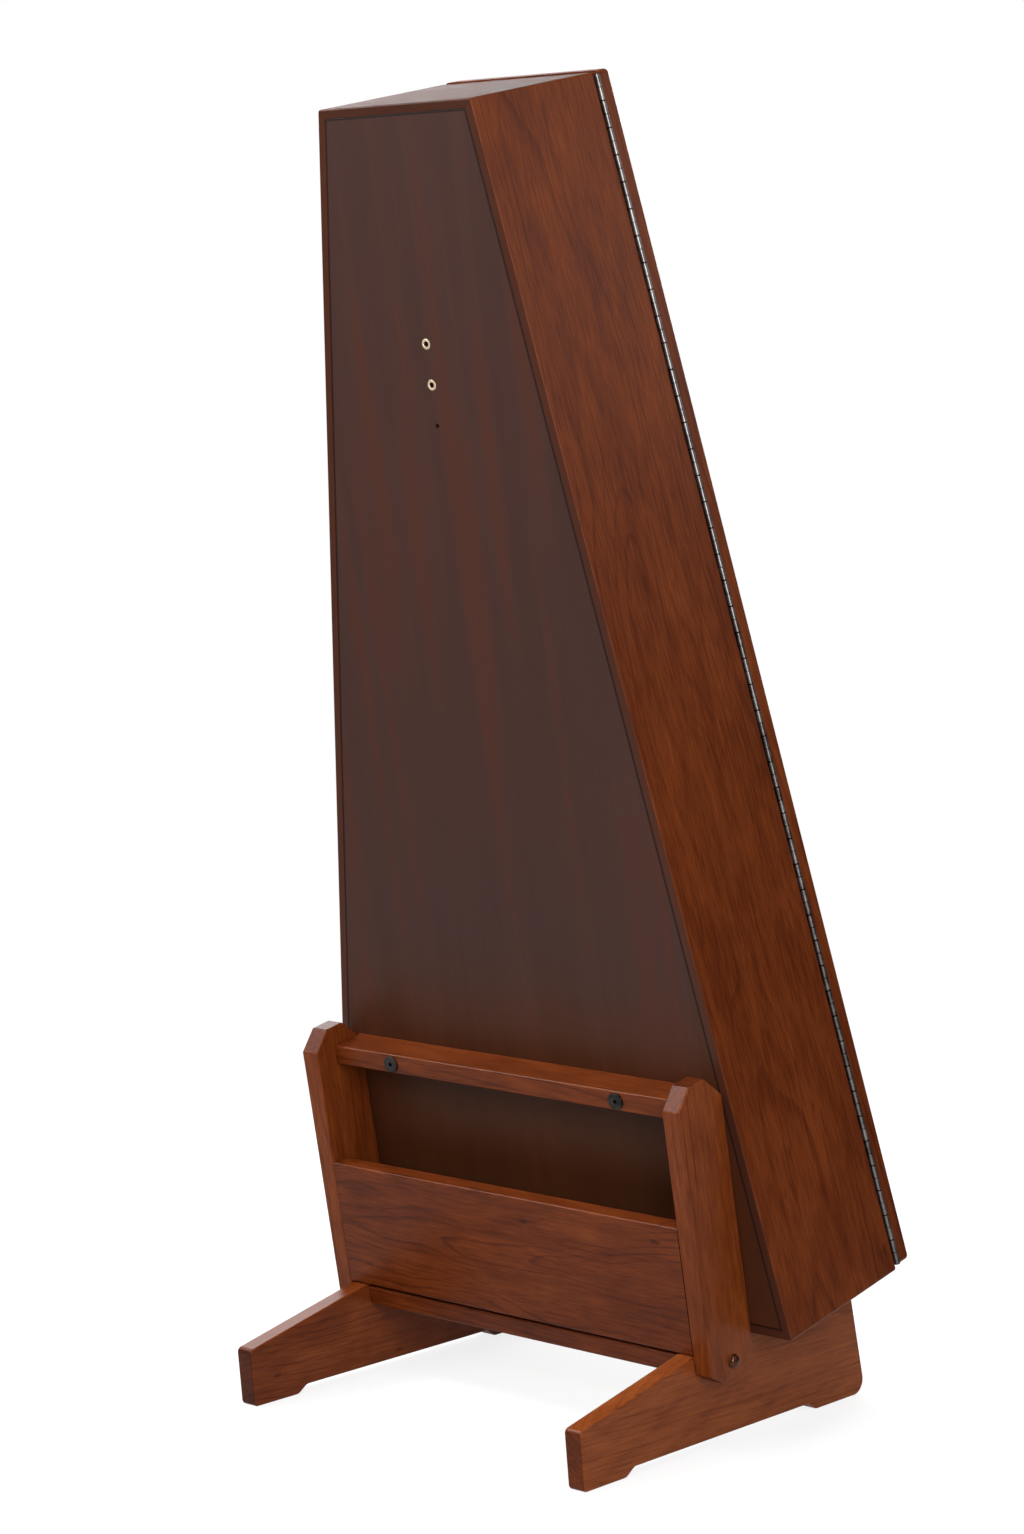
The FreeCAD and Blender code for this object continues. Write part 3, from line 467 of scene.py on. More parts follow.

# %% [markdown]
# ## The back panel
#
# The panel is a veneered sheet, stained much darker and left nearly matt. From a step away it is an
# even brown; up close, faint streaks run up it, some a little redder. It takes the same noise as the
# boards, but stretched further and mixed far more gently, because a sheet's veneer is sliced thin and
# even and the dark stain covers most of it. Higher up its brown is greyer, a painted reflection of the
# pale floor, and near the foot it turns warmer, as painted light bounced off the cherry stand. A thin
# dark line of painted shade runs along the four edges, in the gap where the panel meets the case.

# %% Stain the back panel
PANEL_EDGES = (-HINGE_SIDE_FACE, KNOB_SIDE_FACE, UP_THE_BACK, -UP_THE_BACK)
# Between these heights above the panel's foot, painted bounce light gives way to a painted reflection of
# the floor.
painted_bounce_fade_start = 0.22
painted_bounce_fade_end = 0.36


def dark_veneer(name, centre):
    """A dark, nearly matt veneer with faint streaks up the back."""
    finish = Finish(name)
    place = finish.place()
    up = finish.measure(place, centre, UP_THE_BACK)
    across = finish.measure(place, centre, ACROSS)
    bands = finish.noise(finish.join(up * 1.1, across * 34.0, 0.0), 2.0, 0.5)
    streaks = finish.noise(finish.join(up * 7.0, across * 420.0, 3.0), 2.0, 0.6)
    clouds = finish.noise(finish.join(up * 2.2, across * 5.0, 9.0), 2.0)
    tone = 0.5 + (bands - 0.5) * 0.7 + (streaks - 0.5) * 0.45 + (clouds - 0.5) * 0.4
    # The greyer brown holds a painted reflection of the pale floor; the warmer brown below it is painted
    # light bounced off the cherry stand.
    brown = finish.ramp(tone, [(0.15, (0.040, 0.0155, 0.0118)), (0.85, (0.064, 0.0262, 0.0200))])
    painted_bounce_brown = finish.ramp(tone, [(0.15, (0.044, 0.0120, 0.0032)), (0.85, (0.080, 0.0230, 0.0070))])
    above_foot = finish.measure(place, UP_THE_BACK * panel_foot, UP_THE_BACK)
    painted_sheen_share = finish.step(above_foot + (bands - 0.5) * 0.10, painted_bounce_fade_start, painted_bounce_fade_end)
    redder = finish.step(bands + (clouds - 0.5) * 0.5, 0.50, 0.66)
    # A thin dark line along the four edges is painted shade, for the gap where the panel meets the case.
    clear_of_painted_gap_shade = 1.0
    for outward in PANEL_EDGES:
        edge = span(points_of("back_panel"), outward)[1]
        inset = finish.measure(place, outward * edge, -outward)
        clear_of_painted_gap_shade = finish.step(inset, 0.0010, 0.0026) * clear_of_painted_gap_shade
    colour = finish.blend(redder * 0.42, finish.blend(painted_sheen_share, painted_bounce_brown, brown), (0.074, 0.0160, 0.0060, 1))
    colour = finish.blend(clear_of_painted_gap_shade, (0.012, 0.004, 0.002, 1), colour)
    return finish.surface(
        Base_Color=colour,
        Roughness=0.50 + (streaks - 0.5) * 0.10,
        Normal=finish.raised(streaks, 0.00004),
        IOR=1.46,
        Specular_IOR_Level=0.26)


put_on("back_panel", dark_veneer("back_panel_veneer", centre_of("back_panel")))
print("back panel stained")

# %% [markdown]
# ## Dowels
#
# The dowels are raw beech. They are hidden in their holes, but the pieces exist, so they get the pale
# wood and short rays that beech shows.

# %% Leave the dowels raw
def raw_beech(name):
    """Pale beech, with short darker rays."""
    finish = Finish(name)
    place = finish.place()
    along = finish.measure(place, (0, 0, 0), ACROSS)
    up = finish.measure(place, (0, 0, 0), UP_THE_BACK)
    out = finish.measure(place, (0, 0, 0), OUT_OF_DOOR)
    fibres = finish.noise(finish.join(along * 60.0, up * 1100.0, out * 1100.0), 2.0)
    colour = finish.ramp(fibres, [(0.3, (0.34, 0.20, 0.105)), (0.75, (0.50, 0.33, 0.19))])
    return finish.surface(
        Base_Color=colour,
        Roughness=0.62 + (fibres - 0.5) * 0.2,
        Normal=finish.raised(fibres, 0.00003))


DOWELS = ("stretcher_dowels", "apron_dowels", "crossbar_dowels")
for node in DOWELS:
    put_on(node, raw_beech(node + "_beech"))
print(len(DOWELS), "sets of dowels left raw")

# %% [markdown]
# ## Nickel plate
#
# The long hinge and the small screws are nickel-plated steel: bright, with a soft brushing and a little
# tarnish in the hollows. Real metal gets all of its colour from what it mirrors, so the finish sets only
# a tint, and lets the brushing spread the reflection. Between two knuckles of the hinge lies a narrow
# slot where light is lost, and the finish paints that shade into its colour, with a little in the seams
# between the leaves. The slots repeat at the knuckles' pitch, so a fraction of the height finds them,
# and the distance from the pin keeps them on the barrel.

# %% Nickel plate
knuckle_length = 0.0127
hinge_foot = span(points_of("hinge_leaf_cabinet"), HINGE_SIDE_UP)[0]
hinge_middle = centre_of("hinge_pin")


def painted_knuckle_shade(finish, place):
    """Painted shade: 1 in the slots between the hinge's knuckles, and less in the seams between its
    leaves.
    """
    up = finish.measure(place, HINGE_SIDE_UP * hinge_foot, HINGE_SIDE_UP)
    pair = finish.sum("FRACT", up / (2 * knuckle_length))
    from_middle = finish.sum("ABSOLUTE", pair - 0.5)
    slot = finish.step(from_middle, 0.465, 0.490)
    seam = 1.0 - finish.step(from_middle, 0.010, 0.03)
    along = finish.measure(place, hinge_middle, HINGE_SIDE_UP)
    reach = finish.distance(place, hinge_middle)
    from_pin = finish.sum("SQRT", finish.sum("MAXIMUM", reach * reach - along * along, 0.0))
    return (slot + seam * 0.35) * (1.0 - finish.step(from_pin, 0.0034, 0.0040))


def plated_steel(name):
    """Nickel plate with a soft brushing and a little tarnish."""
    finish = Finish(name)
    place = finish.place()
    up = finish.measure(place, (0, 0, 0), HINGE_SIDE_UP)
    out = finish.measure(place, (0, 0, 0), OUT_OF_DOOR)
    across = finish.measure(place, (0, 0, 0), ACROSS)
    brushing = finish.noise(finish.join(up * 2600.0, out * 160.0, across * 160.0), 2.0)
    tarnish = finish.noise(finish.join(up * 55.0, out * 90.0, across * 90.0), 3.0, 0.6)
    # The slots between the knuckles are painted shade, taken off the tarnish and brushing.
    tarnish_and_painted_shade = tarnish + (brushing - 0.5) * 0.3 - painted_knuckle_shade(finish, place) * 0.8
    return finish.surface(
        Base_Color=finish.ramp(tarnish_and_painted_shade, [(0.02, (0.012, 0.011, 0.011)),
                                            (0.30, (0.15, 0.144, 0.140)),
                                            (0.66, (0.34, 0.330, 0.324))]),
        Metallic=1.0,
        Roughness=0.34 + (tarnish - 0.5) * 0.35 + (brushing - 0.5) * 0.12,
        Normal=finish.raised(brushing, 0.00001))


nickel = plated_steel("nickel_plate")
NICKEL_NODES = ("hinge_leaf_cabinet", "hinge_leaf_door", "hinge_pin", "hinge_screws_cabinet",
                "hinge_screws_door", "catch_poles", "catch_screws", "strike_plate",
                "strike_screws", "knob_screw", "yoke_nut")
for node in NICKEL_NODES:
    put_on(node, nickel)
print(len(NICKEL_NODES), "nodes plated")

# %% [markdown]
# ## Dark steel
#
# The bolts are blackened steel, rubbed bright where a tool touches. The pivot pins are steel whose
# brown colour is a painted reflection of the nearby wood, and they are smooth enough for a small sharp
# highlight.

# %% Blackened steel, and steel with a painted reflection
def black_steel(name):
    """Blackened steel, greyer where it has been rubbed."""
    finish = Finish(name)
    grain = finish.speckle(700.0, 3.0, 0.6)
    rubbed = finish.speckle(130.0)
    colour = finish.ramp(rubbed + (grain - 0.5) * 0.4,
                         [(0.35, (0.016, 0.015, 0.015)), (0.70, (0.060, 0.055, 0.052))])
    return finish.surface(
        Base_Color=colour,
        Metallic=0.85,
        Roughness=0.33 + (grain - 0.5) * 0.30,
        Normal=finish.raised(grain, 0.000012))


def steel_with_painted_wood_reflection(name):
    """Smooth steel whose brown colour, in clouds, is a painted reflection of the nearby wood."""
    finish = Finish(name)
    cloud = finish.speckle(260.0, 3.0, 0.6)
    # The brown of this ramp is a painted reflection of the cherry round the pin.
    colour = finish.ramp(cloud, [(0.3, (0.060, 0.020, 0.010)), (0.7, (0.15, 0.053, 0.030))])
    return finish.surface(
        Base_Color=colour,
        Metallic=0.7,
        Roughness=0.20 + (cloud - 0.5) * 0.2,
        Normal=finish.raised(cloud, 0.00001))


blackened = black_steel("blackened_steel")
pin_steel_painted_reflection = steel_with_painted_wood_reflection("steel_with_painted_wood_reflection")
BLACK_NODES = ("connector_bolts", "hanger_bolts", "hanger_yoke")
for node in BLACK_NODES:
    put_on(node, blackened)
print(len(BLACK_NODES), "nodes blackened")

# %% [markdown]
# ## Brass
#
# The inserts are turned brass, a little dull, with fine rings left by the lathe. Just behind the
# flange the colour turns dark, as painted shade down the bores.

# %% Turned brass
flange_face = span(points_of("hanger_inserts"), OUT_OF_DOOR)[0]


def brass_with_painted_bore_shade(name):
    """Brass as it comes from the lathe, a little dull, with painted shade darkening its bore."""
    finish = Finish(name)
    out = finish.measure(finish.place(), (0, 0, 0), OUT_OF_DOOR)
    rings = finish.noise(finish.join(out * 5200.0, 0.0, 0.0), 1.0)
    dull = finish.speckle(420.0, 3.0, 0.6)
    clean = finish.ramp(dull + (rings - 0.5) * 0.2,
                        [(0.30, (0.74, 0.52, 0.33)), (0.66, (0.96, 0.77, 0.58))])
    # Painted shade: the bore turns dark from just behind the flange inwards.
    stained = finish.step(out, flange_face + 0.0003, flange_face + 0.0011)
    return finish.surface(
        Base_Color=finish.blend(stained, clean, (0.045, 0.018, 0.005, 1)),
        Metallic=0.55,
        Roughness=0.30 + (dull - 0.5) * 0.3,
        Normal=finish.raised(rings, 0.00001))


brass = brass_with_painted_bore_shade("brass_with_painted_bore_shade")
for node in ("hanger_inserts", "crossbar_inserts"):
    put_on(node, brass)
print("inserts are brass")

# %% [markdown]
# ## Rubber and plastic
#
# The hanger's arms wear soft dark sleeves, so that what hangs there isn't scratched. The catch is a
# moulded plastic case. Both are dull and even, so a fine speckle in the surface does most of the work.

# %% Rubber and plastic
def soft_rubber(name):
    """A matt dark sleeve with a fine skin."""
    finish = Finish(name)
    fine = finish.speckle(1500.0)
    worn = finish.speckle(90.0, 3.0)
    colour = finish.ramp(worn, [(0.3, (0.012, 0.012, 0.013)), (0.75, (0.030, 0.029, 0.029))])
    return finish.surface(
        Base_Color=colour,
        Roughness=0.72 + (fine - 0.5) * 0.2,
        Normal=finish.raised(fine, 0.00008))


def moulded_plastic(name):
    """A brown moulded case with a fine spark texture."""
    finish = Finish(name)
    spark = finish.speckle(2200.0)
    colour = finish.ramp(spark, [(0.3, (0.060, 0.034, 0.022)), (0.7, (0.085, 0.050, 0.033))])
    return finish.surface(
        Base_Color=colour,
        Roughness=0.46 + (spark - 0.5) * 0.3,
        Normal=finish.raised(spark, 0.00003))


rubber = soft_rubber("sleeve_rubber")
put_on("yoke_sleeves", rubber)
put_on("catch_body", moulded_plastic("catch_plastic"))
print("sleeves and catch are done")

# %% [markdown]
# ## Glass
#
# The pane is plain float glass. A pane bends no light that can be noticed, so instead of tracing it as
# a solid block, which would leave the case behind it dark, the finish lets most light straight through
# and mirrors a small share. A breath of dust varies that share, because perfectly clean glass looks
# like no glass at all.

# %% The pane
mirrored_share = 0.08


def float_glass(name):
    """A clear pane that mirrors a little, and a little more where dust lies."""
    finish = Finish(name)
    dust = finish.speckle(14.0, 4.0, 0.6)
    return finish.surface(
        Base_Color=finish.ramp(dust, [(0.3, (0.93, 0.965, 0.95)), (0.8, (0.90, 0.94, 0.925))]),
        Metallic=1.0,
        Roughness=0.02 + finish.step(dust, 0.45, 0.85) * 0.10,
        Alpha=mirrored_share + finish.step(dust, 0.40, 0.85) * 0.05)


put_on("door_glass", float_glass("float_glass"))
print("the pane mirrors", mirrored_share, "of the light, and more under dust")

# %% [markdown]
# ## Fittings drawn again
#
# A design model draws a screw as a cone on a plain rod, and a bent rod as straight pieces with balls
# at the corners. That is enough to drill and to fit, but close up the eye misses the cross in the
# screw's head and the soft bend of the rod. These pieces are drawn again, each in the place of the one
# it stands for. Their places are read from the design, by splitting each piece into its separate
# solids and finding where each one starts and how long it is.

# %% Find each solid's place
def solids_of(node):
    """The points of each separate solid of a node."""
    mesh = frame["nodes"][node].data
    spots = [tuple(round(value, 6) for value in vertex.co) for vertex in mesh.vertices]
    leader = {spot: spot for spot in spots}

    def lead(spot):
        while leader[spot] != spot:
            leader[spot] = leader[leader[spot]]
            spot = leader[spot]
        return spot

    for face in mesh.polygons:
        first = lead(spots[face.vertices[0]])
        for corner in face.vertices[1:]:
            leader[lead(spots[corner])] = first
    groups = {}
    for spot in leader:
        groups.setdefault(lead(spot), []).append(Vector(spot))
    return [groups[spot] for spot in sorted(groups)]


def axis_of(points, direction):
    """Where a turned solid starts on its own axis, and how long it is."""
    side = direction.orthogonal().normalized()
    other = direction.cross(side)
    start, end = span(points, direction)
    low_side, high_side = span(points, side)
    low_other, high_other = span(points, other)
    foot = (direction * start + side * (low_side + high_side) / 2
            + other * (low_other + high_other) / 2)
    return foot, end - start


print("screws in one hinge leaf:", len(solids_of("hinge_screws_cabinet")))

# %% [markdown]
# ## Rings and skins
#
# Every round thing here is a stack of rings with a skin stretched over them. A ring is a circle of
# points, and its radius may depend on the angle. The skin joins each ring to the next, and closes the
# two ends unless the piece is a tube.

# %% Rings and the skin over them
round_sides = 24


def ring_round(shape, centre, first, second, radius_at, sides=round_sides):
    """A ring of points whose radius may depend on the angle."""
    ring = []
    for count in range(sides):
        angle = 2 * math.pi * count / sides
        radius = radius_at(angle)
        ring.append(shape.verts.new(centre + first * (radius * math.cos(angle))
                                    + second * (radius * math.sin(angle))))
    return ring


def skin(shape, rings, close_start=True, close_end=True):
    """Faces between neighbouring rings, and over the two ends."""
    for ring, following in zip(rings, rings[1:]):
        for count in range(len(ring)):
            after = (count + 1) % len(ring)
            shape.faces.new((ring[count], ring[after], following[after], following[count]))
    if close_start:
        shape.faces.new(rings[0][::-1])
    if close_end:
        shape.faces.new(rings[-1])


print("round pieces have", round_sides, "sides")

# %% [markdown]
# ## Turning, bending and threading
#
# A screw, an insert and a sleeve are all turned shapes. A lathe needs only a profile, which is a list
# of distances along the axis and the radius there. A bent rod is the same stack of rings, led along a
# path instead. A thread is a ridge that climbs as it goes round, so a rule that mixes the distance and
# the angle is enough to cut one.

# %% A lathe, a bender and a thread
thread_depth = 0.22


def turn(shape, start, direction, profile, **ends):
    """A turned shape. Each step of the profile is a distance, and a radius or a rule for one."""
    first = direction.orthogonal().normalized()
    second = direction.cross(first)
    rings = []
    for distance, radius in profile:
        rule = radius if callable(radius) else (lambda angle, fixed=radius: fixed)
        rings.append(ring_round(shape, start + direction * distance, first, second, rule))
    skin(shape, rings, **ends)


def bend(shape, path, radius):
    """A round rod along a path of points."""
    rings = []
    first = (path[1] - path[0]).orthogonal().normalized()
    for before, point, after in zip([path[0]] + path, path, path[1:] + [path[-1]]):
        along = (after - before).normalized()
        first = (first - along * first.dot(along)).normalized()
        rings.append(ring_round(shape, point, first, along.cross(first), lambda angle: radius))
    skin(shape, rings)


def thread(radius, pitch, distance, depth=thread_depth):
    """A rule for a thread's radius at a distance along it. A negative depth cuts it in a bore."""
    def rule(angle):
        climb = (distance / pitch - angle / (2 * math.pi)) % 1.0
        return radius * (1.0 - depth * abs(2.0 * climb - 1.0))
    return rule


print("a thread's groove takes", thread_depth, "of its radius")

# %% [markdown]
# ## A piece of the object
#
# A drawn shape becomes a piece in three steps: it takes the place of a node of the design, which is
# hidden, it rides on the body that carries that node, and it takes one of the part's own materials.
# Smooth shading rounds the skin, and an edge split keeps every real corner crisp.

# %% From a shape to a piece
crisp_angle = math.radians(40)


def finish_piece(shape, name, body, material, node):
    """Turn a drawn shape into a piece that takes the place of a design node, which is hidden."""
    bmesh.ops.recalc_face_normals(shape, faces=shape.faces)
    mesh = bpy.data.meshes.new(name)
    shape.to_mesh(mesh)
    shape.free()
    mesh.shade_smooth()
    mesh.materials.append(material)
    piece = bpy.data.objects.new(name, mesh)
    bpy.context.scene.collection.objects.link(piece)
    piece.modifiers.new("crisp_edges", "EDGE_SPLIT").split_angle = crisp_angle
    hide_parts(node)
    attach(piece, body)
    print(name, "has", len(mesh.polygons), "faces")


# %% [markdown]
# ## Screws with a cross in the head
#
# The small screws are countersunk, with a cross recess pressed into a shallow round head. The recess
# is made by pushing the rings of the head down wherever they fall inside a cross. The shank tapers to
# a point at its end, with the thread cut along it.

# %% Draw the screws
screw_sides = 28
screw_pitch = 0.0011
HEAD_SHARES = (0.04, 0.14, 0.17, 0.30, 0.45, 0.56, 0.62, 0.80, 0.94, 1.0)


def press_cross(ring, share, start, direction, first, second, head_radius):
    """Push a ring's points in where a cross recess lies, and round the head's rim."""
    arm_width = head_radius * 0.15
    arm_reach = head_radius * 0.58
    rim = head_radius * 0.10 * max(share - 0.8, 0.0) / 0.2
    for point in ring:
        away = point.co - start
        narrow, wide = sorted((abs(away.dot(first)), abs(away.dot(second))))
        sunk = 0.0
        if narrow < arm_width and wide < arm_reach:
            sunk = head_radius * 0.36 * (1.0 - 0.5 * wide / arm_reach)
        point.co += direction * (sunk + rim)


def cross_screw(shape, start, direction, length, head_radius, shank_radius):
    """A countersunk screw, from the middle of its head to its tip."""
    first = direction.orthogonal().normalized()
    second = direction.cross(first)
    rings = []
    for share in HEAD_SHARES:
        ring = ring_round(shape, start, first, second, lambda angle: head_radius * share, screw_sides)
        press_cross(ring, share, start, direction, first, second, head_radius)
        rings.append(ring)
    neck = head_radius * 1.10 - shank_radius
    rings.append(ring_round(shape, start + direction * neck, first, second,
                            lambda angle: shank_radius, screw_sides))
    steps = int((length - head_radius + shank_radius) / screw_pitch * 3)
    for step in range(1, steps):
        distance = neck + (length - neck) * step / steps
        taper = min(1.0, (length - distance) / (3 * shank_radius) + 0.12)
        rings.append(ring_round(shape, start + direction * distance, first, second,
                                thread(shank_radius * taper, screw_pitch, distance), screw_sides))
    skin(shape, rings)


# For each node of screws: what carries it, which way it points, and its head's and shank's radius.
SCREWS = {
    "hinge_screws_cabinet": ("cabinet", INTO_BACK, 0.0029, 0.0014),
    "hinge_screws_door": ("door", OUT_OF_DOOR, 0.0029, 0.0014),
    "catch_screws": ("cabinet", KNOB_SIDE_FACE, 0.0030, 0.0014),
    "strike_screws": ("door", OUT_OF_DOOR, 0.0024, 0.0013),
    "knob_screw": ("door", OUT_OF_DOOR, 0.0042, 0.0020),
}
for node, (body, direction, head_radius, shank_radius) in SCREWS.items():
    shape = bmesh.new()
    for points in solids_of(node):
        start, length = axis_of(points, direction)
        cross_screw(shape, start, direction, length, head_radius, shank_radius)
    finish_piece(shape, node + "_drawn", body, nickel, node)

# %% [markdown]
# ## Threaded inserts
#
# A brass insert is pressed into the panel from behind. Its flange has a rounded rim, its body is
# ringed with barbs that grip the wood, and its bore is threaded for a bolt. The bore is the part that
# shows, as a dark hole with bright turns inside.

# %% Draw the inserts
flange_radius = 0.0051
flange_width = 0.0008
flange_rounding = 0.0003
insert_radius = 0.0045
barb_pitch = 0.0016
bore_pitch = 0.0010


def barbed_insert(shape, start, direction, length, bore):
    """An insert, from the bottom of its bore out to its flange and back in along its barbs."""
    profile = []
    bore_steps = int(length / bore_pitch * 4)
    for step in range(bore_steps, 0, -1):
        distance = length * step / bore_steps
        profile.append((distance, thread(bore, bore_pitch, distance, depth=-0.10)))
    profile += [(flange_rounding, bore * 1.08),
                (0.0, bore * 1.16),
                (0.0, flange_radius - flange_rounding),
                (flange_rounding * 0.35, flange_radius - flange_rounding * 0.35),
                (flange_rounding, flange_radius),
                (flange_width, flange_radius),
                (flange_width, insert_radius * 0.93)]
    for barb in range(int((length - flange_width) / barb_pitch)):
        near = flange_width + barb_pitch * (barb + 0.15)
        profile += [(near, insert_radius), (near + barb_pitch * 0.8, insert_radius * 0.90)]
    profile += [(length, insert_radius * 0.90), (length, bore * 1.10)]
    turn(shape, start, direction, profile, close_start=False, close_end=False)


INSERT_BORES = {"hanger_inserts": 0.00265, "crossbar_inserts": 0.00308}
for node, bore in INSERT_BORES.items():
    shape = bmesh.new()
    for points in solids_of(node):
        start, length = axis_of(points, OUT_OF_DOOR)
        barbed_insert(shape, start, OUT_OF_DOOR, length, bore)
    finish_piece(shape, node + "_drawn", "cabinet", brass, node)

# %% [markdown]
# ## Pivot pins
#
# Each pin is pressed into a foot, and its domed head holds the upright on. The head is forged, so its
# rim is rolled over softly and the dome runs into it without a corner. That soft rim is what catches
# a small sharp highlight.

# %% Draw the pivot pins
pin_head = 0.0070
pin_height = 0.0055
pin_proud = 0.0013
pin_shank = 0.0040
pin_lead = 0.0006
roll = pin_height * 0.12
roll_steps = 6
dome_steps = 7


def domed_pin(shape, start, direction, length):
    """A pin from its end in the foot to the top of its head."""
    shoulder = length + pin_proud - pin_height
    profile = [(0.0, pin_shank * 0.85), (pin_lead, pin_shank), (shoulder, pin_shank)]
    for step in range(roll_steps + 1):
        angle = math.pi * step / roll_steps
        profile.append((shoulder + roll * (1 - math.cos(angle)),
                        pin_head - roll * (1 - math.sin(angle))))
    for step in range(1, dome_steps + 1):
        angle = math.pi / 2 * step / (dome_steps + 0.5)
        profile.append((shoulder + 2 * roll + (pin_height - 2 * roll) * math.sin(angle),
                        (pin_head - roll) * math.cos(angle)))
    turn(shape, start, direction, profile)


for node, outward in (("pivot_pin_left", -ACROSS), ("pivot_pin_right", ACROSS)):
    shape = bmesh.new()
    start, length = axis_of(solids_of(node)[0], outward)
    domed_pin(shape, start, outward, length)
    finish_piece(shape, node + "_drawn", "base", pin_steel_painted_reflection, node)

# %% [markdown]
# ## The hanger's fork
#
# The fork is one steel rod bent into two arms and welded to a shaft behind a round collar. To draw it
# again, its measures are read from the design's own fork: how far it reaches, how wide it is, how low
# the arms hang, and where the collar sits. The shaft's axis runs through the middle of its nut.

# %% Measure the fork
rod_radius = 0.004
collar_radius = 0.009
sleeve_setback = 0.006

fork_points = points_of("hanger_yoke")
fork_back, fork_front = span(fork_points, OUT_OF_DOOR)
fork_right = span(fork_points, ACROSS)[1]
fork_low = span(fork_points, UP_THE_BACK)[0]
shaft_end = centre_of("yoke_nut")
shaft_end += OUT_OF_DOOR * (fork_back - shaft_end.dot(OUT_OF_DOOR))
arm_side = fork_right - rod_radius
arm_level = fork_low + rod_radius - shaft_end.dot(UP_THE_BACK)
sleeve_back = span(points_of("yoke_sleeves"), OUT_OF_DOOR)[0]
arm_start = sleeve_back - sleeve_setback - fork_back
arm_end = fork_front - fork_back


def beside_shaft(point):
    """How far a point lies along the shaft, and how far from its axis."""
    away = point - shaft_end
    along = away.dot(OUT_OF_DOOR)
    return along, (away - OUT_OF_DOOR * along).length


collar_start = min(along for along, reach in map(beside_shaft, fork_points)
                   if abs(reach - collar_radius) < collar_radius * 0.01)
print("collar starts", round(collar_start * 1000, 2), "mm along the shaft")

# %% [markdown]
# ## Bending the fork
#
# A real rod can't turn a sharp corner: a smith bends it round a former, so each elbow is an arc. A
# quadratic curve from a little before the corner to a little after it gives that bend with one line of
# arithmetic. The shaft is threaded where its nut runs, and plain further out.

# %% Draw the fork
shaft_radius = 0.00475
shaft_pitch = 0.0015
shaft_step = 0.0005
shaft_steps = 44
plain_from = 0.0230
end_chamfer = 0.0006
weld = 0.002
collar_width = 0.002
collar_chamfer = 0.0003
elbow_cut = 0.011
elbow_steps = 8

fork = bmesh.new()
shaft = [(0.0, shaft_radius * 0.90), (end_chamfer, shaft_radius)]
for step in range(1, shaft_steps):
    distance = shaft_step * step
    shaft.append((end_chamfer + distance, thread(shaft_radius, shaft_pitch, distance)))
shaft += [(plain_from, shaft_radius),
          (arm_start - weld, shaft_radius),
          (arm_start + weld, shaft_radius * 0.9),
          (arm_start + shaft_radius * 0.9, shaft_radius * 0.4)]
turn(fork, shaft_end, OUT_OF_DOOR, shaft)
for side in (-1, 1):
    throat = shaft_end + OUT_OF_DOOR * arm_start
    arm = shaft_end + ACROSS * side * arm_side + UP_THE_BACK * arm_level
    elbow = arm + OUT_OF_DOOR * arm_start
    before = elbow + (throat - elbow).normalized() * elbow_cut
    after = elbow + OUT_OF_DOOR * elbow_cut
    path = [throat]
    for step in range(elbow_steps + 1):
        share = step / elbow_steps
        path.append(before * (1 - share) ** 2 + elbow * 2 * share * (1 - share) + after * share ** 2)
    bend(fork, path + [arm + OUT_OF_DOOR * arm_end], rod_radius)
turn(fork, shaft_end + OUT_OF_DOOR * collar_start, OUT_OF_DOOR,
     [(0.0, collar_radius * 0.96),
      (collar_chamfer, collar_radius),
      (collar_width - collar_chamfer, collar_radius),
      (collar_width, collar_radius * 0.96)])
finish_piece(fork, "hanger_fork_drawn", "hanger_fork", blackened, "hanger_yoke")

# %% [markdown]
# ## The sleeves
#
# Each sleeve is moulded in soft rubber and pushed over an arm. Fine rings round it give a grip, and its
# end swells into a ball that keeps what hangs there from slipping off, so the profile is a row of
# shallow waves followed by a half circle.

# %% Draw the sleeves
sleeve_radius = 0.0075
ball_radius = 0.010
ball_steps = 14
grip_pitch = 0.0022
grip_depth = 0.0003

sleeve_shape = bmesh.new()
for points in solids_of("yoke_sleeves"):
    start, length = axis_of(points, OUT_OF_DOOR)
    ball_centre = length - ball_radius
    neck = ball_centre - math.sqrt(ball_radius ** 2 - sleeve_radius ** 2)
    profile = [(0.0, rod_radius * 1.02), (0.0, sleeve_radius * 0.86), (0.0007, sleeve_radius)]
    for wave in range(int((neck - 0.002) / grip_pitch)):
        for share, dip in ((0.1, 0.0), (0.5, 1.0), (0.9, 0.0)):
            profile.append((0.001 + grip_pitch * (wave + share), sleeve_radius - grip_depth * dip))
    turning = math.asin(sleeve_radius / ball_radius)
    for step in range(ball_steps):
        angle = turning + (math.pi - turning) * step / ball_steps
        profile.append((ball_centre - ball_radius * math.cos(angle), ball_radius * math.sin(angle)))
    turn(sleeve_shape, start, OUT_OF_DOOR, profile)
finish_piece(sleeve_shape, "yoke_sleeves_drawn", "hanger_fork", rubber, "yoke_sleeves")

# %% [markdown]
# ## The studio
#
# Lacquered wood shows its room. Lit by white walls all round, it turns grey and chalky, because every
# face mirrors a wall. A studio that wants deep colour keeps the room dark at eye level, lights
# each face from a side that it doesn't mirror towards the camera, and leaves white only where a pale
# glaze is wanted: on the floor, overhead, and behind the piece, where the top board mirrors it.
#
# The floor is a pale sheet that fades out before its edge, so that no horizon shows. It is thin enough
# to let the white behind it through, which leaves only the softest of shadows under the feet.

# %% The floor
floor_radius = 1.9
floor_fade = 0.8
floor_weight = 0.24
floor_glow = 0.26

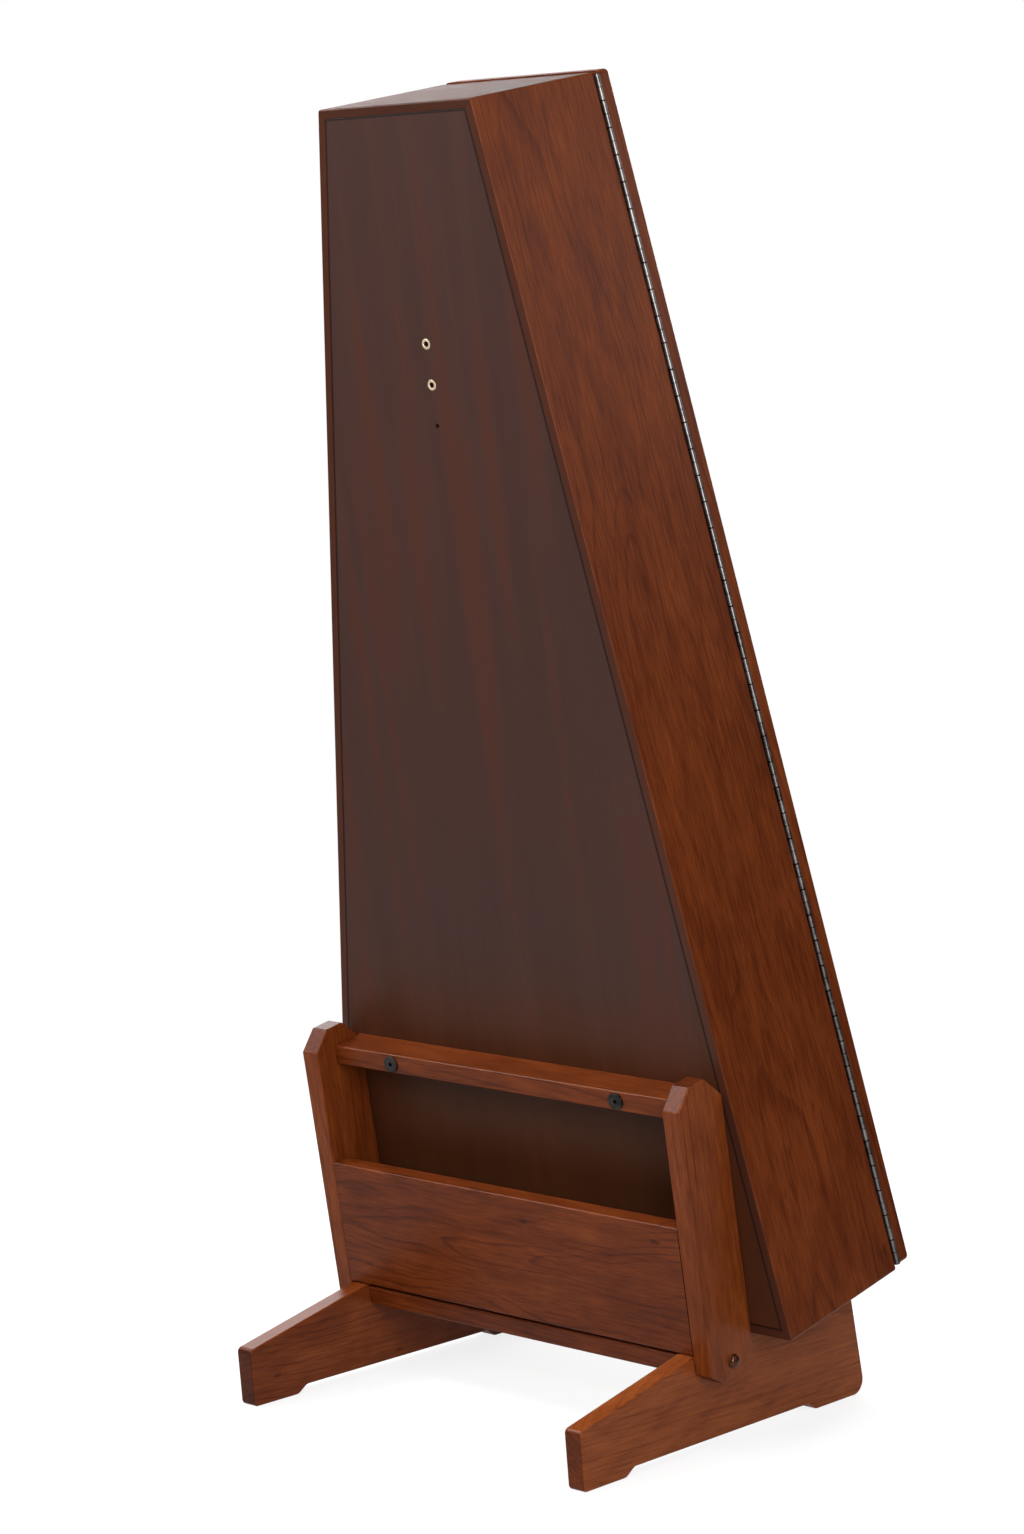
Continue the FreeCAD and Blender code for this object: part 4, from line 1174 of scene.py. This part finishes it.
floor_mesh = bpy.data.meshes.new("floor")
floor_mesh.from_pydata([(-floor_radius, -floor_radius, 0), (floor_radius, -floor_radius, 0),
                        (floor_radius, floor_radius, 0), (-floor_radius, floor_radius, 0)],
                       [], [(0, 1, 2, 3)])
floor = bpy.data.objects.new("floor", floor_mesh)
bpy.context.scene.collection.objects.link(floor)
paper = Finish("paper_floor")
faded = paper.step(paper.distance(paper.place(), (0, 0, 0)), floor_radius - floor_fade, floor_radius)
floor_mesh.materials.append(paper.surface(
    Base_Color=paper.ramp(paper.speckle(40.0), [(0.2, (0.90, 0.90, 0.90)), (0.8, (0.92, 0.92, 0.92))]),
    Roughness=0.9,
    Emission_Color=(1, 1, 1, 1),
    Emission_Strength=floor_glow,
    Alpha=(1.0 - faded) * floor_weight))
print("the floor fades out", floor_radius, "m from the middle")

# %% [markdown]
# ## The lights
#
# A face that points up takes most of its light from overhead, and the panel and the rear frame take
# theirs from behind. Each light is a broad rectangle turned towards the middle of the piece, because a
# broad light leaves soft edges on its shadows. Each is placed by the way it comes from and how far off
# it stands, so that all of them stay aimed when the piece changes size.

# %% The soft boxes
def soft_box(name, direction, distance, width, height, power):
    """A large light that faces the middle of the piece from a direction."""
    light = bpy.data.lights.new(name, "AREA")
    light.shape = "RECTANGLE"
    light.size = width
    light.size_y = height
    light.energy = power
    box = bpy.data.objects.new(name, light)
    way = Vector(direction).normalized()
    box.location = middle + way * distance
    box.rotation_mode = "QUATERNION"
    box.rotation_quaternion = (-way).to_track_quat("-Z", "Y")
    box.visible_camera = False
    box.visible_transmission = False
    bpy.context.scene.collection.objects.link(box)


# For each light: the way it comes from, its distance, width and height in metres, and its watts.
SOFT_BOXES = {
    "side_box": ((-0.80, 0.60, 0.25), 2.6, 1.2, 1.8, 46.0),
    "rear_box": ((0.30, 0.90, 0.45), 2.8, 1.6, 1.2, 31.0),
    "overhead_box": ((0.0, 0.15, 1.0), 2.4, 2.4, 2.4, 46.0),
    "chamfer_box": ((0.65, 0.37, 0.64), 2.6, 0.8, 0.8, 42.0),
    "glare_box": ((-0.70, -0.71, 0.44), 3.0, 2.2, 0.8, 6.5),
    "background_box": ((0.65, -0.76, 0.22), 3.0, 3.0, 1.6, 66.0),
    "front_box": ((0.4, -1.0, 0.5), 3.0, 1.4, 1.4, 25.0),
}
for name, (direction, distance, width, height, power) in SOFT_BOXES.items():
    soft_box(name, direction, distance, width, height, power)
print(len(SOFT_BOXES), "soft boxes")

# %% [markdown]
# ## The room
#
# What is left is the room itself. Its shade depends only on how high one looks: pale below, where a
# white floor would run on, dark at eye level, and grey towards the ceiling. The camera alone sees plain
# white behind the piece.

# %% The surroundings
SHADES = [(0.30, (0.38, 0.38, 0.38)),
          (0.44, (0.03, 0.03, 0.03)),
          (0.55, (0.02, 0.02, 0.02)),
          (0.85, (0.22, 0.22, 0.22))]
room = Finish("white_room", bpy.data.worlds)
height_of_view = room.measure(room.add("TexCoord", {}, {}, "Generated"), (0, 0, 0), (0, 0, 1))
shade = room.ramp(height_of_view * 0.5 + 0.5, SHADES)
dim_room = room.add("Background", {}, {"Color": shade, "Strength": 1.0})
white_sheet = room.add("Background", {}, {"Color": (1, 1, 1, 1), "Strength": 1.0})
seen = room.add("LightPath", {}, {}, "Is Camera Ray")
both = room.add("MixShader", {}, {0: seen, 1: dim_room, 2: white_sheet})
bpy.context.scene.world = room.end(both, "World")
bpy.context.scene.view_settings.view_transform = "Standard"
print("the room has", len(SHADES), "shades from floor to ceiling")
